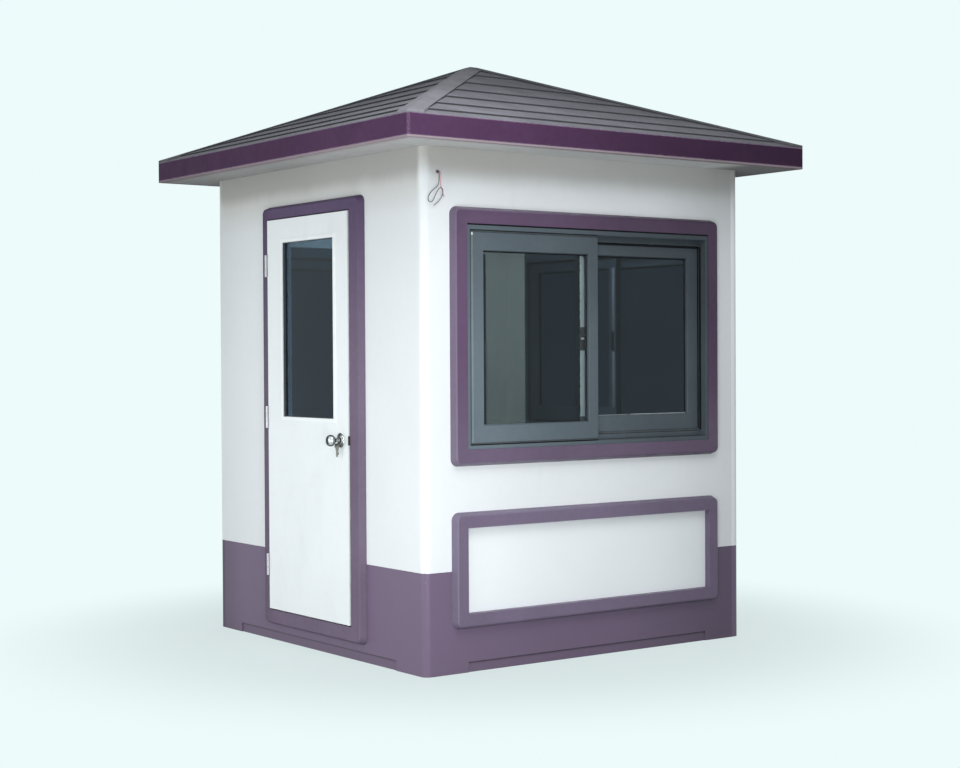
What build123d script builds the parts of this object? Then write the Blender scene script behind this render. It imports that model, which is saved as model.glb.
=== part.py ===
from build123d import *
from dataclasses import dataclass
from math import atan2, cos, degrees, radians, sin
import os

# A guard booth of moulded sandwich panels under a hipped roof with lapped courses.
# Millimetres, +Z up, origin on the ground under the middle of the booth.
# The front, with the large sliding window, faces -Y, and the door is in the left wall, -X.

# Walls
width = 1800.0              # outside, along X
depth = 1800.0              # outside, along Y
wall_height = 2200.0
wall_thickness = 60.0
corner_radius = 32.0
kick_length = 1360.0        # shallow rebate along the foot of each wall
kick_height = 44.0
kick_depth = 6.0

# Floor
floor_height = 95.0
deck_thickness = 15.0

# Raised mouldings round the openings
surround_proud = 31.0
surround_slope = 12.0       # how far the outer edge leans in over its height
surround_corner = 34.0
surround_edge = 4.0

# Windows, the same in three walls
window_offset = -10.0       # from the middle of the wall
window_width = 1376.0
window_height = 948.0
window_sill = 939.0
window_border = 70.0        # width of the moulding at its foot
window_frame_bar = 16.0
window_head_bar = 24.0      # the frame's head, over the sashes
window_frame_setback = 5.0  # behind the face of the moulding
inner_sill_step = 25.0      # the inner track lies higher, so that rain runs out
inner_head_step = 28.0
sash_gap = 3.0              # round a sash's tongue in the frame
sash_tongue = 8.0           # lip round a sash that runs in the frame's channel
tongue_thickness = 12.0
sash_thickness = 28.0
sash_spacing = 6.0          # between the two sashes
track_width = 4.0           # rib that a sash runs on
sash_setback = 8.0          # outer sash behind the face of the frame
sash_stile = 66.0
meeting_stile = 53.0
meeting_offset = -10.0      # middle of the sashes' overlap from the middle of the window
sash_top_rail = 74.0
sash_bottom_rail = 72.0
sash_overlap = 84.0
glass_thickness = 5.0
glass_bite = 8.0            # how far a pane reaches into its sash
sash_arris = 2.0
latch_height = 96.0         # let into the inner sash's meeting stile
latch_width = 18.0
latch_lever = 10.0          # how far it stands out into the room
latch_proud = 1.0           # how far it stands out of the other face
latch_level = 1405.0

# Blind panels under the windows
panel_width = 1379.0
panel_height = 360.0
panel_foot = 251.0
panel_border = 65.0

# Door: the leaf swings outwards about hinges on its edge away from the window
leaf_width = 704.0
leaf_height = 1812.0
leaf_thickness = 45.0
leaf_foot = 156.0
leaf_offset = 11.0          # leaf's middle from the middle of the wall, towards the front
leaf_proud = 4.0            # beyond the face of the moulding
latch_gap = 8.0
hinge_gap = 5.0
head_gap = 6.0
stop_gap = 5.0
jamb_thickness = 20.0
stop_lap = 15.0             # how far the stop reaches over the leaf
door_border_hinge = 60.0
door_border_latch = 81.0
door_border_head = 60.0
door_border_foot = 74.0
door_glass_width = 446.0
door_glass_height = 802.0
door_glass_foot = 1057.0
door_glass_offset = 23.0
door_glass_setback = 14.0
bead_width = 16.0
bead_proud = 3.0

# Hinges
hinge_height = 102.0
hinge_levels = (362.0, 1052.0, 1757.0)
knuckle_radius = 6.5
pin_radius = 3.0
pin_clearance = 0.3
knuckle_count = 3
knuckle_gap = 0.5
hinge_plate = 2.0
hinge_plate_width = 34.0

# Knobs and latch
knob_level = 965.0
knob_backset = 62.0
knob_radius = 26.0
knob_reach = 70.0           # from the leaf's face to the front of the knob
knob_face_radius = 12.0     # flat front of the knob
knob_front_depth = 18.0     # from its widest ring to its front
knob_back_depth = 18.0      # from its neck to its widest ring
knob_bands = 3              # facets from the widest ring to the front, and to the neck
neck_radius = 10.0
neck_clearance = 0.5
spindle_radius = 6.0
spindle_hole_radius = 12.0
rose_radius = 32.0
rose_thickness = 9.0
latch_plate_height = 58.0
latch_plate_width = 25.0
latch_plate_proud = 1.0
strike_thickness = 1.5
strike_height = 58.0
strike_depth = 39.0         # from the moulding's face inwards
strike_lip = 10.0           # how far its lip stands out of the moulding
strike_lip_height = 40.0
strike_hole = 20.0          # side of the hole for the latch

# Keys on a ring round the outer knob's neck
key_ring_radius = 16.0
key_ring_wall = 1.6
key_ring_width = 2.0
key_ring_place = 22.0       # from the leaf's face
key_clearance = 0.3
key_bow_radius = 11.0
key_hole_radius = 3.0
key_length = 54.0           # from the middle of its hole to its tip
key_blade_width = 8.0
key_thickness = 2.2
key_spacing = 4.0
key_leans = (-16.0, 9.0)    # degrees from upright

# Two loose wires that hang from a hole near the front's left corner
wire_hole = (-828.0, 2096.0)
wire_diameter = 3.0
wire_facets = 6
wire_bend = 0.45            # share of the shorter run that a bend takes up
grommet_radius = 9.0
grommet_thickness = 2.0
grommet_shank = 6.0
grommet_depth = 14.0

# Roof
overhang = 216.0
soffit_thickness = 8.0
fascia_height = 88.0
fascia_thickness = 15.0
eave_chamfer = 8.0
eave_edge = 3.0             # upright edge of the lowest course
apex_rise = 424.0           # of the slopes' base line, above the fascia
course_step = 7.0
first_lap_rise = 25.0
first_course_rise = 53.0
course_growth = 6.0         # each course rises this much more than the one below
last_course_rise = 40.0     # least that the top course rises
roof_plate = 12.0
hip_half_width = 55.0
hip_thickness = 10.0
peak_half_width = 80.0
peak_flat = 8.0             # taken off the point of the roof

# The wires' routes: along the front from its middle, out from the wall, and the level
dark_wire_route = [
    (-831, grommet_thickness, 2096), (-831, 17, 2096), (-832, 22, 2080), (-830, 15, 2036),
    (-860, 13, 2019), (-884, 12, 1988), (-880, 12, 1967), (-861, 14, 1967), (-848, 18, 2000),
    (-831, 21, 2030), (-811, 20, 2024), (-812, 15, 1996), (-828, 12, 1972), (-851, 10, 1955)]
red_wire_route = [
    (-825, grommet_thickness, 2096), (-825, 17, 2096), (-823, 22, 2080), (-820, 13, 2036),
    (-807, 11, 2014), (-800, 10, 1990)]

# Worked-out places; outwards is measured from a wall's outer face
leaf_face = surround_proud + leaf_proud
leaf_back = leaf_face - leaf_thickness
stop_face = leaf_back - stop_gap
frame_face = surround_proud - window_frame_setback
outer_sash_face = frame_face - sash_setback
inner_sash_face = outer_sash_face - sash_thickness - sash_spacing
leaf_left = leaf_offset - leaf_width / 2
leaf_right = leaf_offset + leaf_width / 2
leaf_head = leaf_foot + leaf_height
knob_x = leaf_right - knob_backset
pivot_x = leaf_left - hinge_gap / 2
pivot_out = leaf_face + knuckle_radius
fascia_foot = wall_height + soffit_thickness
fascia_top = fascia_foot + fascia_height
strike_face = leaf_right + latch_gap


@dataclass(frozen=True)
class Side:
    """One side of the booth: how far it is turned from the front, and its size."""

    turn: float
    reach: float
    length: float


FRONT = Side(0.0, depth / 2, width)
RIGHT = Side(90.0, width / 2, depth)
BACK = Side(180.0, depth / 2, width)
LEFT = Side(270.0, width / 2, depth)
SIDES = {"front": FRONT, "right": RIGHT, "back": BACK, "left": LEFT}


def place(shape, side):
    """Move a shape drawn on a wall that faces -Y, with that face at y = 0, to its side."""
    return Rot(0, 0, side.turn) * Pos(0, -side.reach, 0) * shape


def wall_plane(x, z, out=0.0):
    """A plane along a wall: its x runs along the wall, its y up, its normal outwards."""
    return Plane(origin=(x, -out, z), x_dir=(1, 0, 0), z_dir=(0, -1, 0))


def slab(left, right, foot, head, inner, outer):
    """A plate along a wall between two levels and two distances out from its face."""
    middle = wall_plane((left + right) / 2, (foot + head) / 2, inner)
    return extrude(middle * Rectangle(right - left, head - foot), amount=outer - inner)


def plan_prism(points, foot, head):
    """An upright prism over an outline in plan."""
    outline = make_face(Polyline(*points, close=True))
    return extrude(Pos(0, 0, foot) * outline, amount=head - foot)


# ---------------------------------------------------------------- walls and floor
def wall_ring():
    """All four walls in one, with rounded corners, before the mitres and openings."""
    outside = extrude(RectangleRounded(width, depth, corner_radius), amount=wall_height)
    room = Rectangle(width - 2 * wall_thickness, depth - 2 * wall_thickness)
    return outside - extrude(room, amount=wall_height)


def wall(side):
    """One wall, mitred at its corners, with the rebate along its foot."""
    half = side.length / 2
    mitred = plan_prism(
        [(-half, 0), (half, 0), (half - wall_thickness, wall_thickness),
         (-half + wall_thickness, wall_thickness)], 0, wall_height)
    kick = slab(-kick_length / 2, kick_length / 2, 0, kick_height, -kick_depth, 1)
    return wall_ring() & place(mitred, side) - place(kick, side)


def window_wall(side):
    """A wall with its window opening cut through."""
    left = window_offset - window_width / 2
    opening = slab(left, left + window_width, window_sill, window_sill + window_height,
                   -wall_thickness - 1, 1)
    return wall(side) - place(opening, side)


def door_wall_pieces():
    """The door's wall as two piers, a head and a sill, with the doorway between them."""
    half = LEFT.length / 2 + 1
    left = leaf_left - hinge_gap - jamb_thickness
    right = leaf_right + latch_gap + jamb_thickness
    foot = leaf_foot - head_gap - jamb_thickness
    head = leaf_head + head_gap + jamb_thickness
    whole = wall(LEFT)
    cuts = {
        "left_wall_back_pier": (-half, left, 0, wall_height),
        "left_wall_front_pier": (right, half, 0, wall_height),
        "left_wall_head": (left, right, head, wall_height),
        "left_wall_sill": (left, right, 0, foot),
    }
    return {name: whole & place(slab(*limits, -wall_thickness, 1), LEFT)
            for name, limits in cuts.items()}


def floor_pieces():
    """The solid floor panel between the walls, and the deck on it."""
    room = Rectangle(width - 2 * wall_thickness, depth - 2 * wall_thickness)
    panel = extrude(room, amount=floor_height)
    deck = extrude(Pos(0, 0, floor_height) * room, amount=deck_thickness)
    return {"floor_panel": panel, "floor_deck": deck}


# ---------------------------------------------------------------- raised mouldings
def surround(left, right, foot, head, opening):
    """A moulding with rounded corners and a leaning outer edge, round an opening."""
    base = wall_plane((left + right) / 2, (foot + head) / 2)
    lean = degrees(atan2(surround_slope, surround_proud))
    outline = RectangleRounded(right - left, head - foot, surround_corner)
    body = extrude(base * outline, amount=surround_proud, taper=lean)
    rim = body.faces().sort_by(Axis.Y)[0].outer_wire().edges()
    body = chamfer(rim, surround_edge)
    return body - slab(*opening, -1, surround_proud + 1)


def bordered(left, foot, size_x, size_z, border):
    """A moulding of even width round an opening given by its corner and size."""
    right = left + size_x
    head = foot + size_z
    return surround(left - border, right + border, foot - border, head + border,
                    (left, right, foot, head))


def door_surround():
    """The moulding round the doorway, wider on the side of the latch."""
    left = leaf_left - hinge_gap
    right = leaf_right + latch_gap
    foot = leaf_foot - head_gap
    head = leaf_head + head_gap
    return surround(left - door_border_hinge, right + door_border_latch,
                    foot - door_border_foot, head + door_border_head,
                    (left, right, foot, head))


# ---------------------------------------------------------------- windows
def framed(left, right, foot, head, bars, inner, outer):
    """A rectangular frame; bars gives the widths of its left, right, foot and head."""
    bar_left, bar_right, bar_foot, bar_head = bars
    whole = slab(left, right, foot, head, inner, outer)
    hole = slab(left + bar_left, right - bar_right, foot + bar_foot, head - bar_head,
                inner - 1, outer + 1)
    return whole - hole


def sash(limits, bars, tongues, face):
    """One sash and its pane; limits and bars as for a frame, tongues its lip on each side."""
    left, right, foot, head = limits
    bar_left, bar_right, bar_foot, bar_head = bars
    frame = framed(*limits, bars, face - sash_thickness, face)
    frame = chamfer(frame.edges().group_by(Axis.Y)[0], sash_arris)
    lip_left, lip_right, lip_foot, lip_head = tongues
    middle = face - sash_thickness / 2
    frame += framed(left - lip_left, right + lip_right, foot - lip_foot, head + lip_head,
                    [lip + sash_tongue for lip in tongues],
                    middle - tongue_thickness / 2, middle + tongue_thickness / 2)
    pane = slab(left + bar_left - glass_bite, right - bar_right + glass_bite,
                foot + bar_foot - glass_bite, head - bar_head + glass_bite,
                middle - glass_thickness / 2, middle + glass_thickness / 2)
    return frame - pane, pane


def window_frame(left, right):
    """The fixed frame of a sliding window, stepped inside, with a track under each sash."""
    bar = window_frame_bar
    sill = window_sill + bar
    head = window_sill + window_height - window_head_bar
    frame = framed(left, right, window_sill, window_sill + window_height,
                   (bar, bar, bar, window_head_bar), -wall_thickness, frame_face)
    step_face = inner_sash_face + sash_gap
    frame += slab(left + bar, right - bar, sill, sill + inner_sill_step, -wall_thickness, step_face)
    frame += slab(left + bar, right - bar, head - inner_head_step, head, -wall_thickness, step_face)
    for face, level in ((outer_sash_face, sill), (inner_sash_face, sill + inner_sill_step)):
        middle = face - sash_thickness / 2
        frame += slab(left + bar, right - bar, level, level + sash_gap,
                      middle - track_width / 2, middle + track_width / 2)
    return frame


def window_pieces(name, side):
    """Frame, two sashes on their tracks, panes and latch of one sliding window."""
    left = window_offset - window_width / 2
    right = window_offset + window_width / 2
    inset = window_frame_bar + sash_gap + sash_tongue
    foot = window_sill + inset
    head = window_sill + window_height - window_head_bar - sash_gap - sash_tongue
    meeting = window_offset + meeting_offset
    inner_left = meeting - sash_overlap / 2
    lip = sash_tongue
    outer, outer_pane = sash(
        (left + inset, meeting + sash_overlap / 2, foot, head),
        (sash_stile, meeting_stile, sash_bottom_rail, sash_top_rail),
        (lip, 0, lip, lip), outer_sash_face)
    inner, inner_pane = sash(
        (inner_left, right - inset, foot + inner_sill_step, head - inner_head_step),
        (meeting_stile, sash_stile, sash_bottom_rail, sash_top_rail - inner_head_step),
        (0, lip, lip, lip), inner_sash_face)
    latch = sash_latch(inner_left + meeting_stile / 2)
    return {
        f"{name}_window_frame": place(window_frame(left, right), side),
        f"{name}_window_outer_sash": place(outer, side),
        f"{name}_window_inner_sash": place(inner - latch, side),
        f"{name}_window_glass": Compound([place(outer_pane, side), place(inner_pane, side)]),
        f"{name}_window_latch": place(latch, side),
    }


def sash_latch(middle):
    """The latch that is let right through the inner sash's meeting stile."""
    back = inner_sash_face - sash_thickness
    half = latch_width / 2
    return slab(middle - half, middle + half, latch_level - latch_height / 2,
                latch_level + latch_height / 2, back - latch_lever, inner_sash_face + latch_proud)


# ---------------------------------------------------------------- door
def door_frame():
    """The jamb lining of the doorway, with the stop that the leaf shuts against."""
    left = leaf_left - hinge_gap
    right = leaf_right + latch_gap
    foot = leaf_foot - head_gap
    head = leaf_head + head_gap
    jamb = (jamb_thickness,) * 4
    outline = (left - jamb_thickness, right + jamb_thickness,
               foot - jamb_thickness, head + jamb_thickness)
    lining = framed(*outline, jamb, stop_face, 0)
    stop = framed(*outline,
                  (jamb_thickness + hinge_gap + stop_lap, jamb_thickness + latch_gap + stop_lap,
                   jamb_thickness + head_gap + stop_lap, jamb_thickness + head_gap + stop_lap),
                  -wall_thickness, stop_face)
    return lining + stop


def door_glass_limits(grow):
    """Left, right, foot and head of the door's pane, grown by some amount all round."""
    left = door_glass_offset - door_glass_width / 2
    return (left - grow, left + door_glass_width + grow,
            door_glass_foot - grow, door_glass_foot + door_glass_height + grow)


def knob_bore(radius, inner, outer):
    """A round bar along the knobs' axis between two distances out from the wall."""
    return extrude(wall_plane(knob_x, knob_level, inner) * Circle(radius), amount=outer - inner)


def door_leaf():
    """The leaf, with its opening for the pane, the bore for the spindle and the latch seat."""
    body = slab(leaf_left, leaf_right, leaf_foot, leaf_head, leaf_back, leaf_face)
    body -= slab(*door_glass_limits(bead_width), leaf_back - 1, leaf_face + 1)
    body -= knob_bore(spindle_hole_radius, leaf_back - 1, leaf_face + 1)
    return body - latch_plate(0)


def door_bead():
    """The bead that holds the door's pane, on both faces of the leaf."""
    left, right, foot, head = door_glass_limits(bead_width)
    bars = (bead_width,) * 4
    ring = framed(left, right, foot, head, bars, leaf_back - bead_proud, leaf_face + bead_proud)
    return ring - door_pane()


def door_pane():
    """The door's glass, let into its bead."""
    face = leaf_face - door_glass_setback
    return slab(*door_glass_limits(glass_bite), face - glass_thickness, face)


def latch_plate(proud):
    """The plate of the latch, let into the leaf's edge."""
    middle = (leaf_face + leaf_back) / 2
    half = latch_plate_width / 2
    return slab(leaf_right - hinge_plate, leaf_right + proud, knob_level - latch_plate_height / 2,
                knob_level + latch_plate_height / 2, middle - half, middle + half)


def strike_plate():
    """The plate let into the jamb and the moulding beside the latch, with its lip."""
    def part(height, inner, outer):
        return slab(strike_face, strike_face + strike_thickness, knob_level - height / 2,
                    knob_level + height / 2, inner, outer)
    middle = (leaf_face + leaf_back) / 2
    plate = part(strike_height, surround_proud - strike_depth, surround_proud)
    plate += part(strike_lip_height, surround_proud, surround_proud + strike_lip)
    return plate - part(strike_hole, middle - strike_hole / 2, middle + strike_hole / 2)


def strike_seat():
    """What the plate takes out of the jamb and the moulding."""
    return slab(strike_face - 1, strike_face + strike_thickness, knob_level - strike_height / 2,
                knob_level + strike_height / 2, surround_proud - strike_depth, surround_proud + 1)


def knob_outline():
    """Half a knob's outline, out from its axis and along it from the leaf's face."""
    root = rose_thickness / 2
    widest = knob_reach - knob_front_depth
    points = [(0, knob_reach), (0, root), (neck_radius, root),
              (neck_radius, widest - knob_back_depth)]
    turns = [radians(90 * step / knob_bands) for step in range(1, knob_bands + 1)]
    for turn in turns:
        points.append((neck_radius + (knob_radius - neck_radius) * sin(turn),
                       widest - knob_back_depth * cos(turn)))
    for turn in turns:
        points.append((knob_face_radius + (knob_radius - knob_face_radius) * cos(turn),
                       widest + knob_front_depth * sin(turn)))
    return points


def knob():
    """Both knobs on their spindle, as one turning piece."""
    shaft = knob_bore(spindle_radius, leaf_back - rose_thickness, leaf_face + rose_thickness)
    outline = Polyline(*knob_outline(), close=True)
    half = revolve(Plane.XZ * make_face(outline), Axis.Z)
    outside = Pos(knob_x, -leaf_face, knob_level) * Rot(90, 0, 0) * half
    inside = Pos(knob_x, -leaf_back, knob_level) * Rot(-90, 0, 0) * half
    return shaft + outside + inside


def key(across, lean):
    """One key, hanging from the lowest point of the ring and leaning in its own plane."""
    hole = Circle(key_hole_radius)
    bow = Pos(0, -key_bow_radius / 2) * RegularPolygon(key_bow_radius, 8)
    blade = Pos(0, -key_length / 2) * Rectangle(key_blade_width, key_length)
    flat = bow + blade - hole
    sag = key_hole_radius - key_ring_wall / 2 - key_clearance
    ring_foot = ring_middle() - key_ring_radius + key_ring_wall / 2
    hang = Plane(origin=(knob_x + across, -leaf_face - key_ring_place, ring_foot - sag),
                 x_dir=(0, 1, 0), z_dir=(1, 0, 0))
    return hang * Rot(0, 0, lean) * extrude(flat, amount=key_thickness / 2, both=True)


def ring_middle():
    """Level of the key ring's middle, as it hangs on the knob's neck."""
    return knob_level + neck_radius + key_clearance - (key_ring_radius - key_ring_wall)


def keys():
    """A ring round the knob's neck, and the keys on it."""
    ring = Cylinder(key_ring_radius, key_ring_width) - Cylinder(
        key_ring_radius - key_ring_wall, key_ring_width + 1)
    ring = Pos(knob_x, -leaf_face - key_ring_place, ring_middle()) * Rot(90, 0, 0) * ring
    first = -key_spacing * (len(key_leans) - 1) / 2
    return [ring] + [key(first + key_spacing * n, lean) for n, lean in enumerate(key_leans)]


def rose(face, turn):
    """The domed plate round a knob's neck."""
    dome = Cone(rose_radius, rose_radius * 0.7, rose_thickness,
                align=(Align.CENTER, Align.CENTER, Align.MIN))
    dome -= Cylinder(neck_radius + neck_clearance, 4 * rose_thickness)
    return Pos(knob_x, -face, knob_level) * Rot(turn, 0, 0) * dome


def knuckles(level, first):
    """Every second knuckle of a hinge, starting from the first or second."""
    pitch = hinge_height / knuckle_count
    foot = level - hinge_height / 2
    turned = []
    for index in range(first, knuckle_count, 2):
        low = foot + index * pitch + knuckle_gap / 2
        turned.append(Pos(pivot_x, -pivot_out, low) * Cylinder(
            knuckle_radius, pitch - knuckle_gap, align=(Align.CENTER, Align.CENTER, Align.MIN)))
    return turned


def hinge_pin(level, radius):
    """A hinge's pin, or its bore when the radius is larger."""
    return Pos(pivot_x, -pivot_out, level) * Cylinder(radius, hinge_height)


def hinge_plates(level, left, right, first):
    """The plate of one half of a hinge, cut into tabs that meet its own knuckles."""
    pitch = hinge_height / knuckle_count
    foot = level - hinge_height / 2
    plate = slab(left, right, foot, foot + hinge_height, leaf_face - hinge_plate_width, leaf_face - 1)
    for index in range(first, knuckle_count, 2):
        low = foot + index * pitch + knuckle_gap / 2
        plate += slab(left, right, low, low + pitch - knuckle_gap, leaf_face - 2, pivot_out)
    return plate


def hinge_halves():
    """The frame's and the leaf's half of each hinge; the pin is fast in the frame's half."""
    frame_side = []
    leaf_side = []
    for level in hinge_levels:
        fixed = hinge_plates(level, leaf_left - hinge_gap, leaf_left - hinge_gap + hinge_plate, 0)
        for knuckle in knuckles(level, 0):
            fixed += knuckle
        frame_side.append(fixed + hinge_pin(level, pin_radius))
        moving = hinge_plates(level, leaf_left - hinge_plate, leaf_left, 1)
        for knuckle in knuckles(level, 1):
            moving += knuckle
        leaf_side.append(moving - hinge_pin(level, pin_radius + pin_clearance))
    return frame_side, leaf_side


# ---------------------------------------------------------------- roof
def eave_side(side):
    """The same side, out at the eaves."""
    return Side(side.turn, side.reach + overhang, side.length + 2 * overhang)


def eave_prism(foot, head):
    """The eaves' outline in plan, with its corners chamfered, as an upright prism."""
    outline = Rectangle(width + 2 * overhang, depth + 2 * overhang)
    outline = chamfer(outline.vertices(), eave_chamfer)
    return extrude(Pos(0, 0, foot) * outline, amount=head - foot)


def along_eave(points, side):
    """A section drawn inwards and upwards from the top of the fascia, run along one eave."""
    section = make_face(Polyline(*points, close=True))
    run = extrude(Plane.YZ * section, amount=side.length / 2, both=True)
    corner = side.length / 2
    over = plan_prism([(-corner, 0), (corner, 0), (0, side.reach)], -1, apex_rise + 100)
    return place(Pos(0, 0, fascia_top) * (run & over), side)


def base_line(side, rise):
    """How far in from the eave a slope's base line has climbed to a given rise."""
    return side.reach * (rise - eave_edge) / (apex_rise - eave_edge)


def slope(side):
    """One slope of the roof, with its courses lapped over each other."""
    points = [(0, 0), (0, eave_edge)]
    rise = first_lap_rise
    gain = first_course_rise
    while rise < apex_rise - last_course_rise:
        inward = base_line(side, rise)
        points += [(inward, rise), (inward, rise + course_step)]
        rise += gain
        gain += course_growth
    points += [(side.reach, apex_rise), (side.reach, apex_rise - roof_plate), (fascia_thickness, 0)]
    return along_eave(points, side)


def roof_pieces():
    """Slopes, hip caps, peak cap, fascias and soffit."""
    eaves = {name: eave_side(side) for name, side in SIDES.items()}
    clip = eave_prism(0, fascia_top + apex_rise + 100)
    slopes = {name: slope(side) & clip for name, side in eaves.items()}
    cover = None
    for name, side in eaves.items():
        layer = along_eave([(0, eave_edge), (0, eave_edge + hip_thickness),
                            (side.reach, apex_rise + hip_thickness), (side.reach, apex_rise)], side)
        layer = (layer & clip) - slopes[name]
        cover = layer if cover is None else cover + layer
    peak_top = fascia_top + apex_rise + hip_thickness - peak_flat
    cover = cover & eave_prism(fascia_top, peak_top)
    core = extrude(Rectangle(2 * peak_half_width, 2 * peak_half_width), amount=peak_top)
    half_x = width / 2 + overhang
    half_y = depth / 2 + overhang
    caps = []
    for sign_x, sign_y in ((-1, -1), (1, -1), (1, 1), (-1, 1)):
        heading = degrees(atan2(sign_y * half_y, sign_x * half_x))
        reach = half_x + half_y
        strip = Rot(0, 0, heading) * Pos(reach / 2, 0, 0) * Rectangle(reach, 2 * hip_half_width)
        corner = Pos(sign_x * half_x / 2, sign_y * half_y / 2) * Rectangle(half_x, half_y)
        caps.append((cover & extrude(strip & corner, amount=peak_top)) - core)
    pieces = {f"roof_{name}_slope": shape for name, shape in slopes.items()}
    pieces["roof_hip_caps"] = Compound([solid for cap in caps for solid in cap.solids()])
    pieces["roof_peak_cap"] = cover & core
    for name, side in eaves.items():
        half = side.length / 2
        board = plan_prism([(-half, 0), (half, 0), (half - fascia_thickness, fascia_thickness),
                            (-half + fascia_thickness, fascia_thickness)], fascia_foot, fascia_top)
        pieces[f"{name}_fascia"] = place(board, side) & clip
    pieces["soffit"] = eave_prism(wall_height, fascia_foot)
    return pieces


# ---------------------------------------------------------------- wires
def grommet():
    """The grommet in the front wall that both wires come out of."""
    shank = extrude(wall_plane(*wire_hole, -grommet_depth) * Circle(grommet_shank), amount=grommet_depth)
    return shank + extrude(wall_plane(*wire_hole) * Circle(grommet_radius), amount=grommet_thickness)


def wire(name, route):
    """A wire along its route, bent at each point as gently as the runs beside it allow."""
    points = [Vector(x, -out, z) for x, out, z in route]
    radii = []
    for before, here, after in zip(points, points[1:], points[2:]):
        run_in = here - before
        run_out = after - here
        half_turn = radians(run_in.get_angle(run_out) / 2)
        radii.append(wire_bend * min(run_in.length, run_out.length) / (sin(half_turn) / cos(half_turn)))
    print(name, "bends", [round(radius, 1) for radius in radii])
    path = FilletPolyline(*points, radius=radii)
    section = Plane(origin=points[0], z_dir=points[1] - points[0]) * RegularPolygon(
        wire_diameter / 2, wire_facets)
    return sweep(section, path=path)


# ---------------------------------------------------------------- assembly
def booth():
    """Every piece of the booth by its name."""
    pieces = {}
    for name, side in SIDES.items():
        if name == "left":
            continue
        pieces[f"{name}_wall"] = window_wall(side)
        left = window_offset - window_width / 2
        pieces[f"{name}_window_surround"] = place(
            bordered(left, window_sill, window_width, window_height, window_border), side)
        left = window_offset - panel_width / 2
        pieces[f"{name}_panel_surround"] = place(
            bordered(left, panel_foot, panel_width, panel_height, panel_border), side)
        pieces.update(window_pieces(name, side))
    pieces.update(door_wall_pieces())
    pieces.update(floor_pieces())
    pieces["door_surround"] = place(door_surround() - strike_seat(), LEFT)
    pieces["door_frame"] = place(door_frame() - strike_seat(), LEFT)
    pieces["door_strike_plate"] = place(strike_plate(), LEFT)
    pieces["door_leaf"] = place(door_leaf(), LEFT)
    pieces["door_glass"] = place(door_pane(), LEFT)
    pieces["door_glass_bead"] = place(door_bead(), LEFT)
    pieces["door_knobs"] = place(knob(), LEFT)
    pieces["door_roses"] = Compound([place(rose(leaf_face, 90), LEFT), place(rose(leaf_back, -90), LEFT)])
    pieces["door_latch_plate"] = place(latch_plate(latch_plate_proud), LEFT)
    pieces["door_keys"] = Compound([place(piece, LEFT) for piece in keys()])
    frame_side, leaf_side = hinge_halves()
    pieces["hinge_frame_halves"] = Compound([place(half, LEFT) for half in frame_side])
    pieces["hinge_leaf_halves"] = Compound([place(half, LEFT) for half in leaf_side])
    pieces.update(roof_pieces())
    pieces["front_wall"] -= place(grommet(), FRONT)
    pieces["wire_grommet"] = place(grommet(), FRONT)
    pieces["wire_dark"] = place(wire("wire_dark", dark_wire_route), FRONT)
    pieces["wire_red"] = place(wire("wire_red", red_wire_route), FRONT)
    return pieces


os.makedirs("parts", exist_ok=True)
for node, shape in booth().items():
    export_step(shape, f"parts/{node}.step")
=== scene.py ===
"""The visible model of a security guard booth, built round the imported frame.

Lengths are in metres. The booth stands on the ground at the origin: its large window faces -Y
and its door faces -X.
"""

import logging
import math
from dataclasses import dataclass, field
from enum import Enum
from typing import Sequence, Union

import bmesh
import bpy
from mathutils import Matrix, Vector

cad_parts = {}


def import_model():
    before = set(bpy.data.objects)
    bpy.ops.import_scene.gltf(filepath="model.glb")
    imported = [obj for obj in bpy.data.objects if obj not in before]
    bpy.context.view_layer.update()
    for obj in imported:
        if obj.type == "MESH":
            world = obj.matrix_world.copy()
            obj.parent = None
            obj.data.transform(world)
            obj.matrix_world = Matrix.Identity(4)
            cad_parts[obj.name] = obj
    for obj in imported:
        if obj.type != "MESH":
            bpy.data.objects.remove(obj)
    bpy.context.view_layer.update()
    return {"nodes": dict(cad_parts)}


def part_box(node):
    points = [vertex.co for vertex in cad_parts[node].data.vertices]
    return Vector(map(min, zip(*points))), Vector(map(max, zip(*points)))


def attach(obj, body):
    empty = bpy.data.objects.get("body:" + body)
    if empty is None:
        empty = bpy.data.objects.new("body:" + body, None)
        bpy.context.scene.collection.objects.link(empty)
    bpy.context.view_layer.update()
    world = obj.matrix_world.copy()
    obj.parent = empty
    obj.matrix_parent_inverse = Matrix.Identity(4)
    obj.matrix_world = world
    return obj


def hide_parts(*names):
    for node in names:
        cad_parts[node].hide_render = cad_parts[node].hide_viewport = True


Colour = tuple[float, float, float]
Point = tuple[float, float, float]
Box = tuple[Vector, Vector]
Outline = Sequence[tuple[float, float]]
Reach = tuple[float, float]
# A ramp of painted shade or painted light: a coordinate and a span along it, as for Recipe.span().
ShadeRamp = tuple[str, float, float, float, float]
Socket = bpy.types.NodeSocket
Amount = Union[float, str, Socket]
HALF_PLAN = 0.9
ROOF_HALF = 1.1
WELD = 1e-6
SHARP_EDGE = 0.6
QUARTER = math.pi / 2

log = logging.getLogger("booth")


class Side(Enum):
    """The side of the booth that a piece belongs to, as its turn about the vertical in degrees."""

    FRONT = 0
    RIGHT = 90
    BACK = 180
    DOOR = -90

    @property
    def turn(self) -> Matrix:
        """The turn that takes the front wall to this side."""
        return Matrix.Rotation(math.radians(self.value), 4, "Z")


class Body(Enum):
    """The moving bodies of the booth."""

    BOOTH = "booth"
    DOOR = "door"
    KNOBS = "knobs"


def on_wall(x: float, out: float, z: float) -> Vector:
    """Gives a point of the front wall from its place along the wall, outwards and upwards."""
    return Vector((x, -(HALF_PLAN + out), z))


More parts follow.
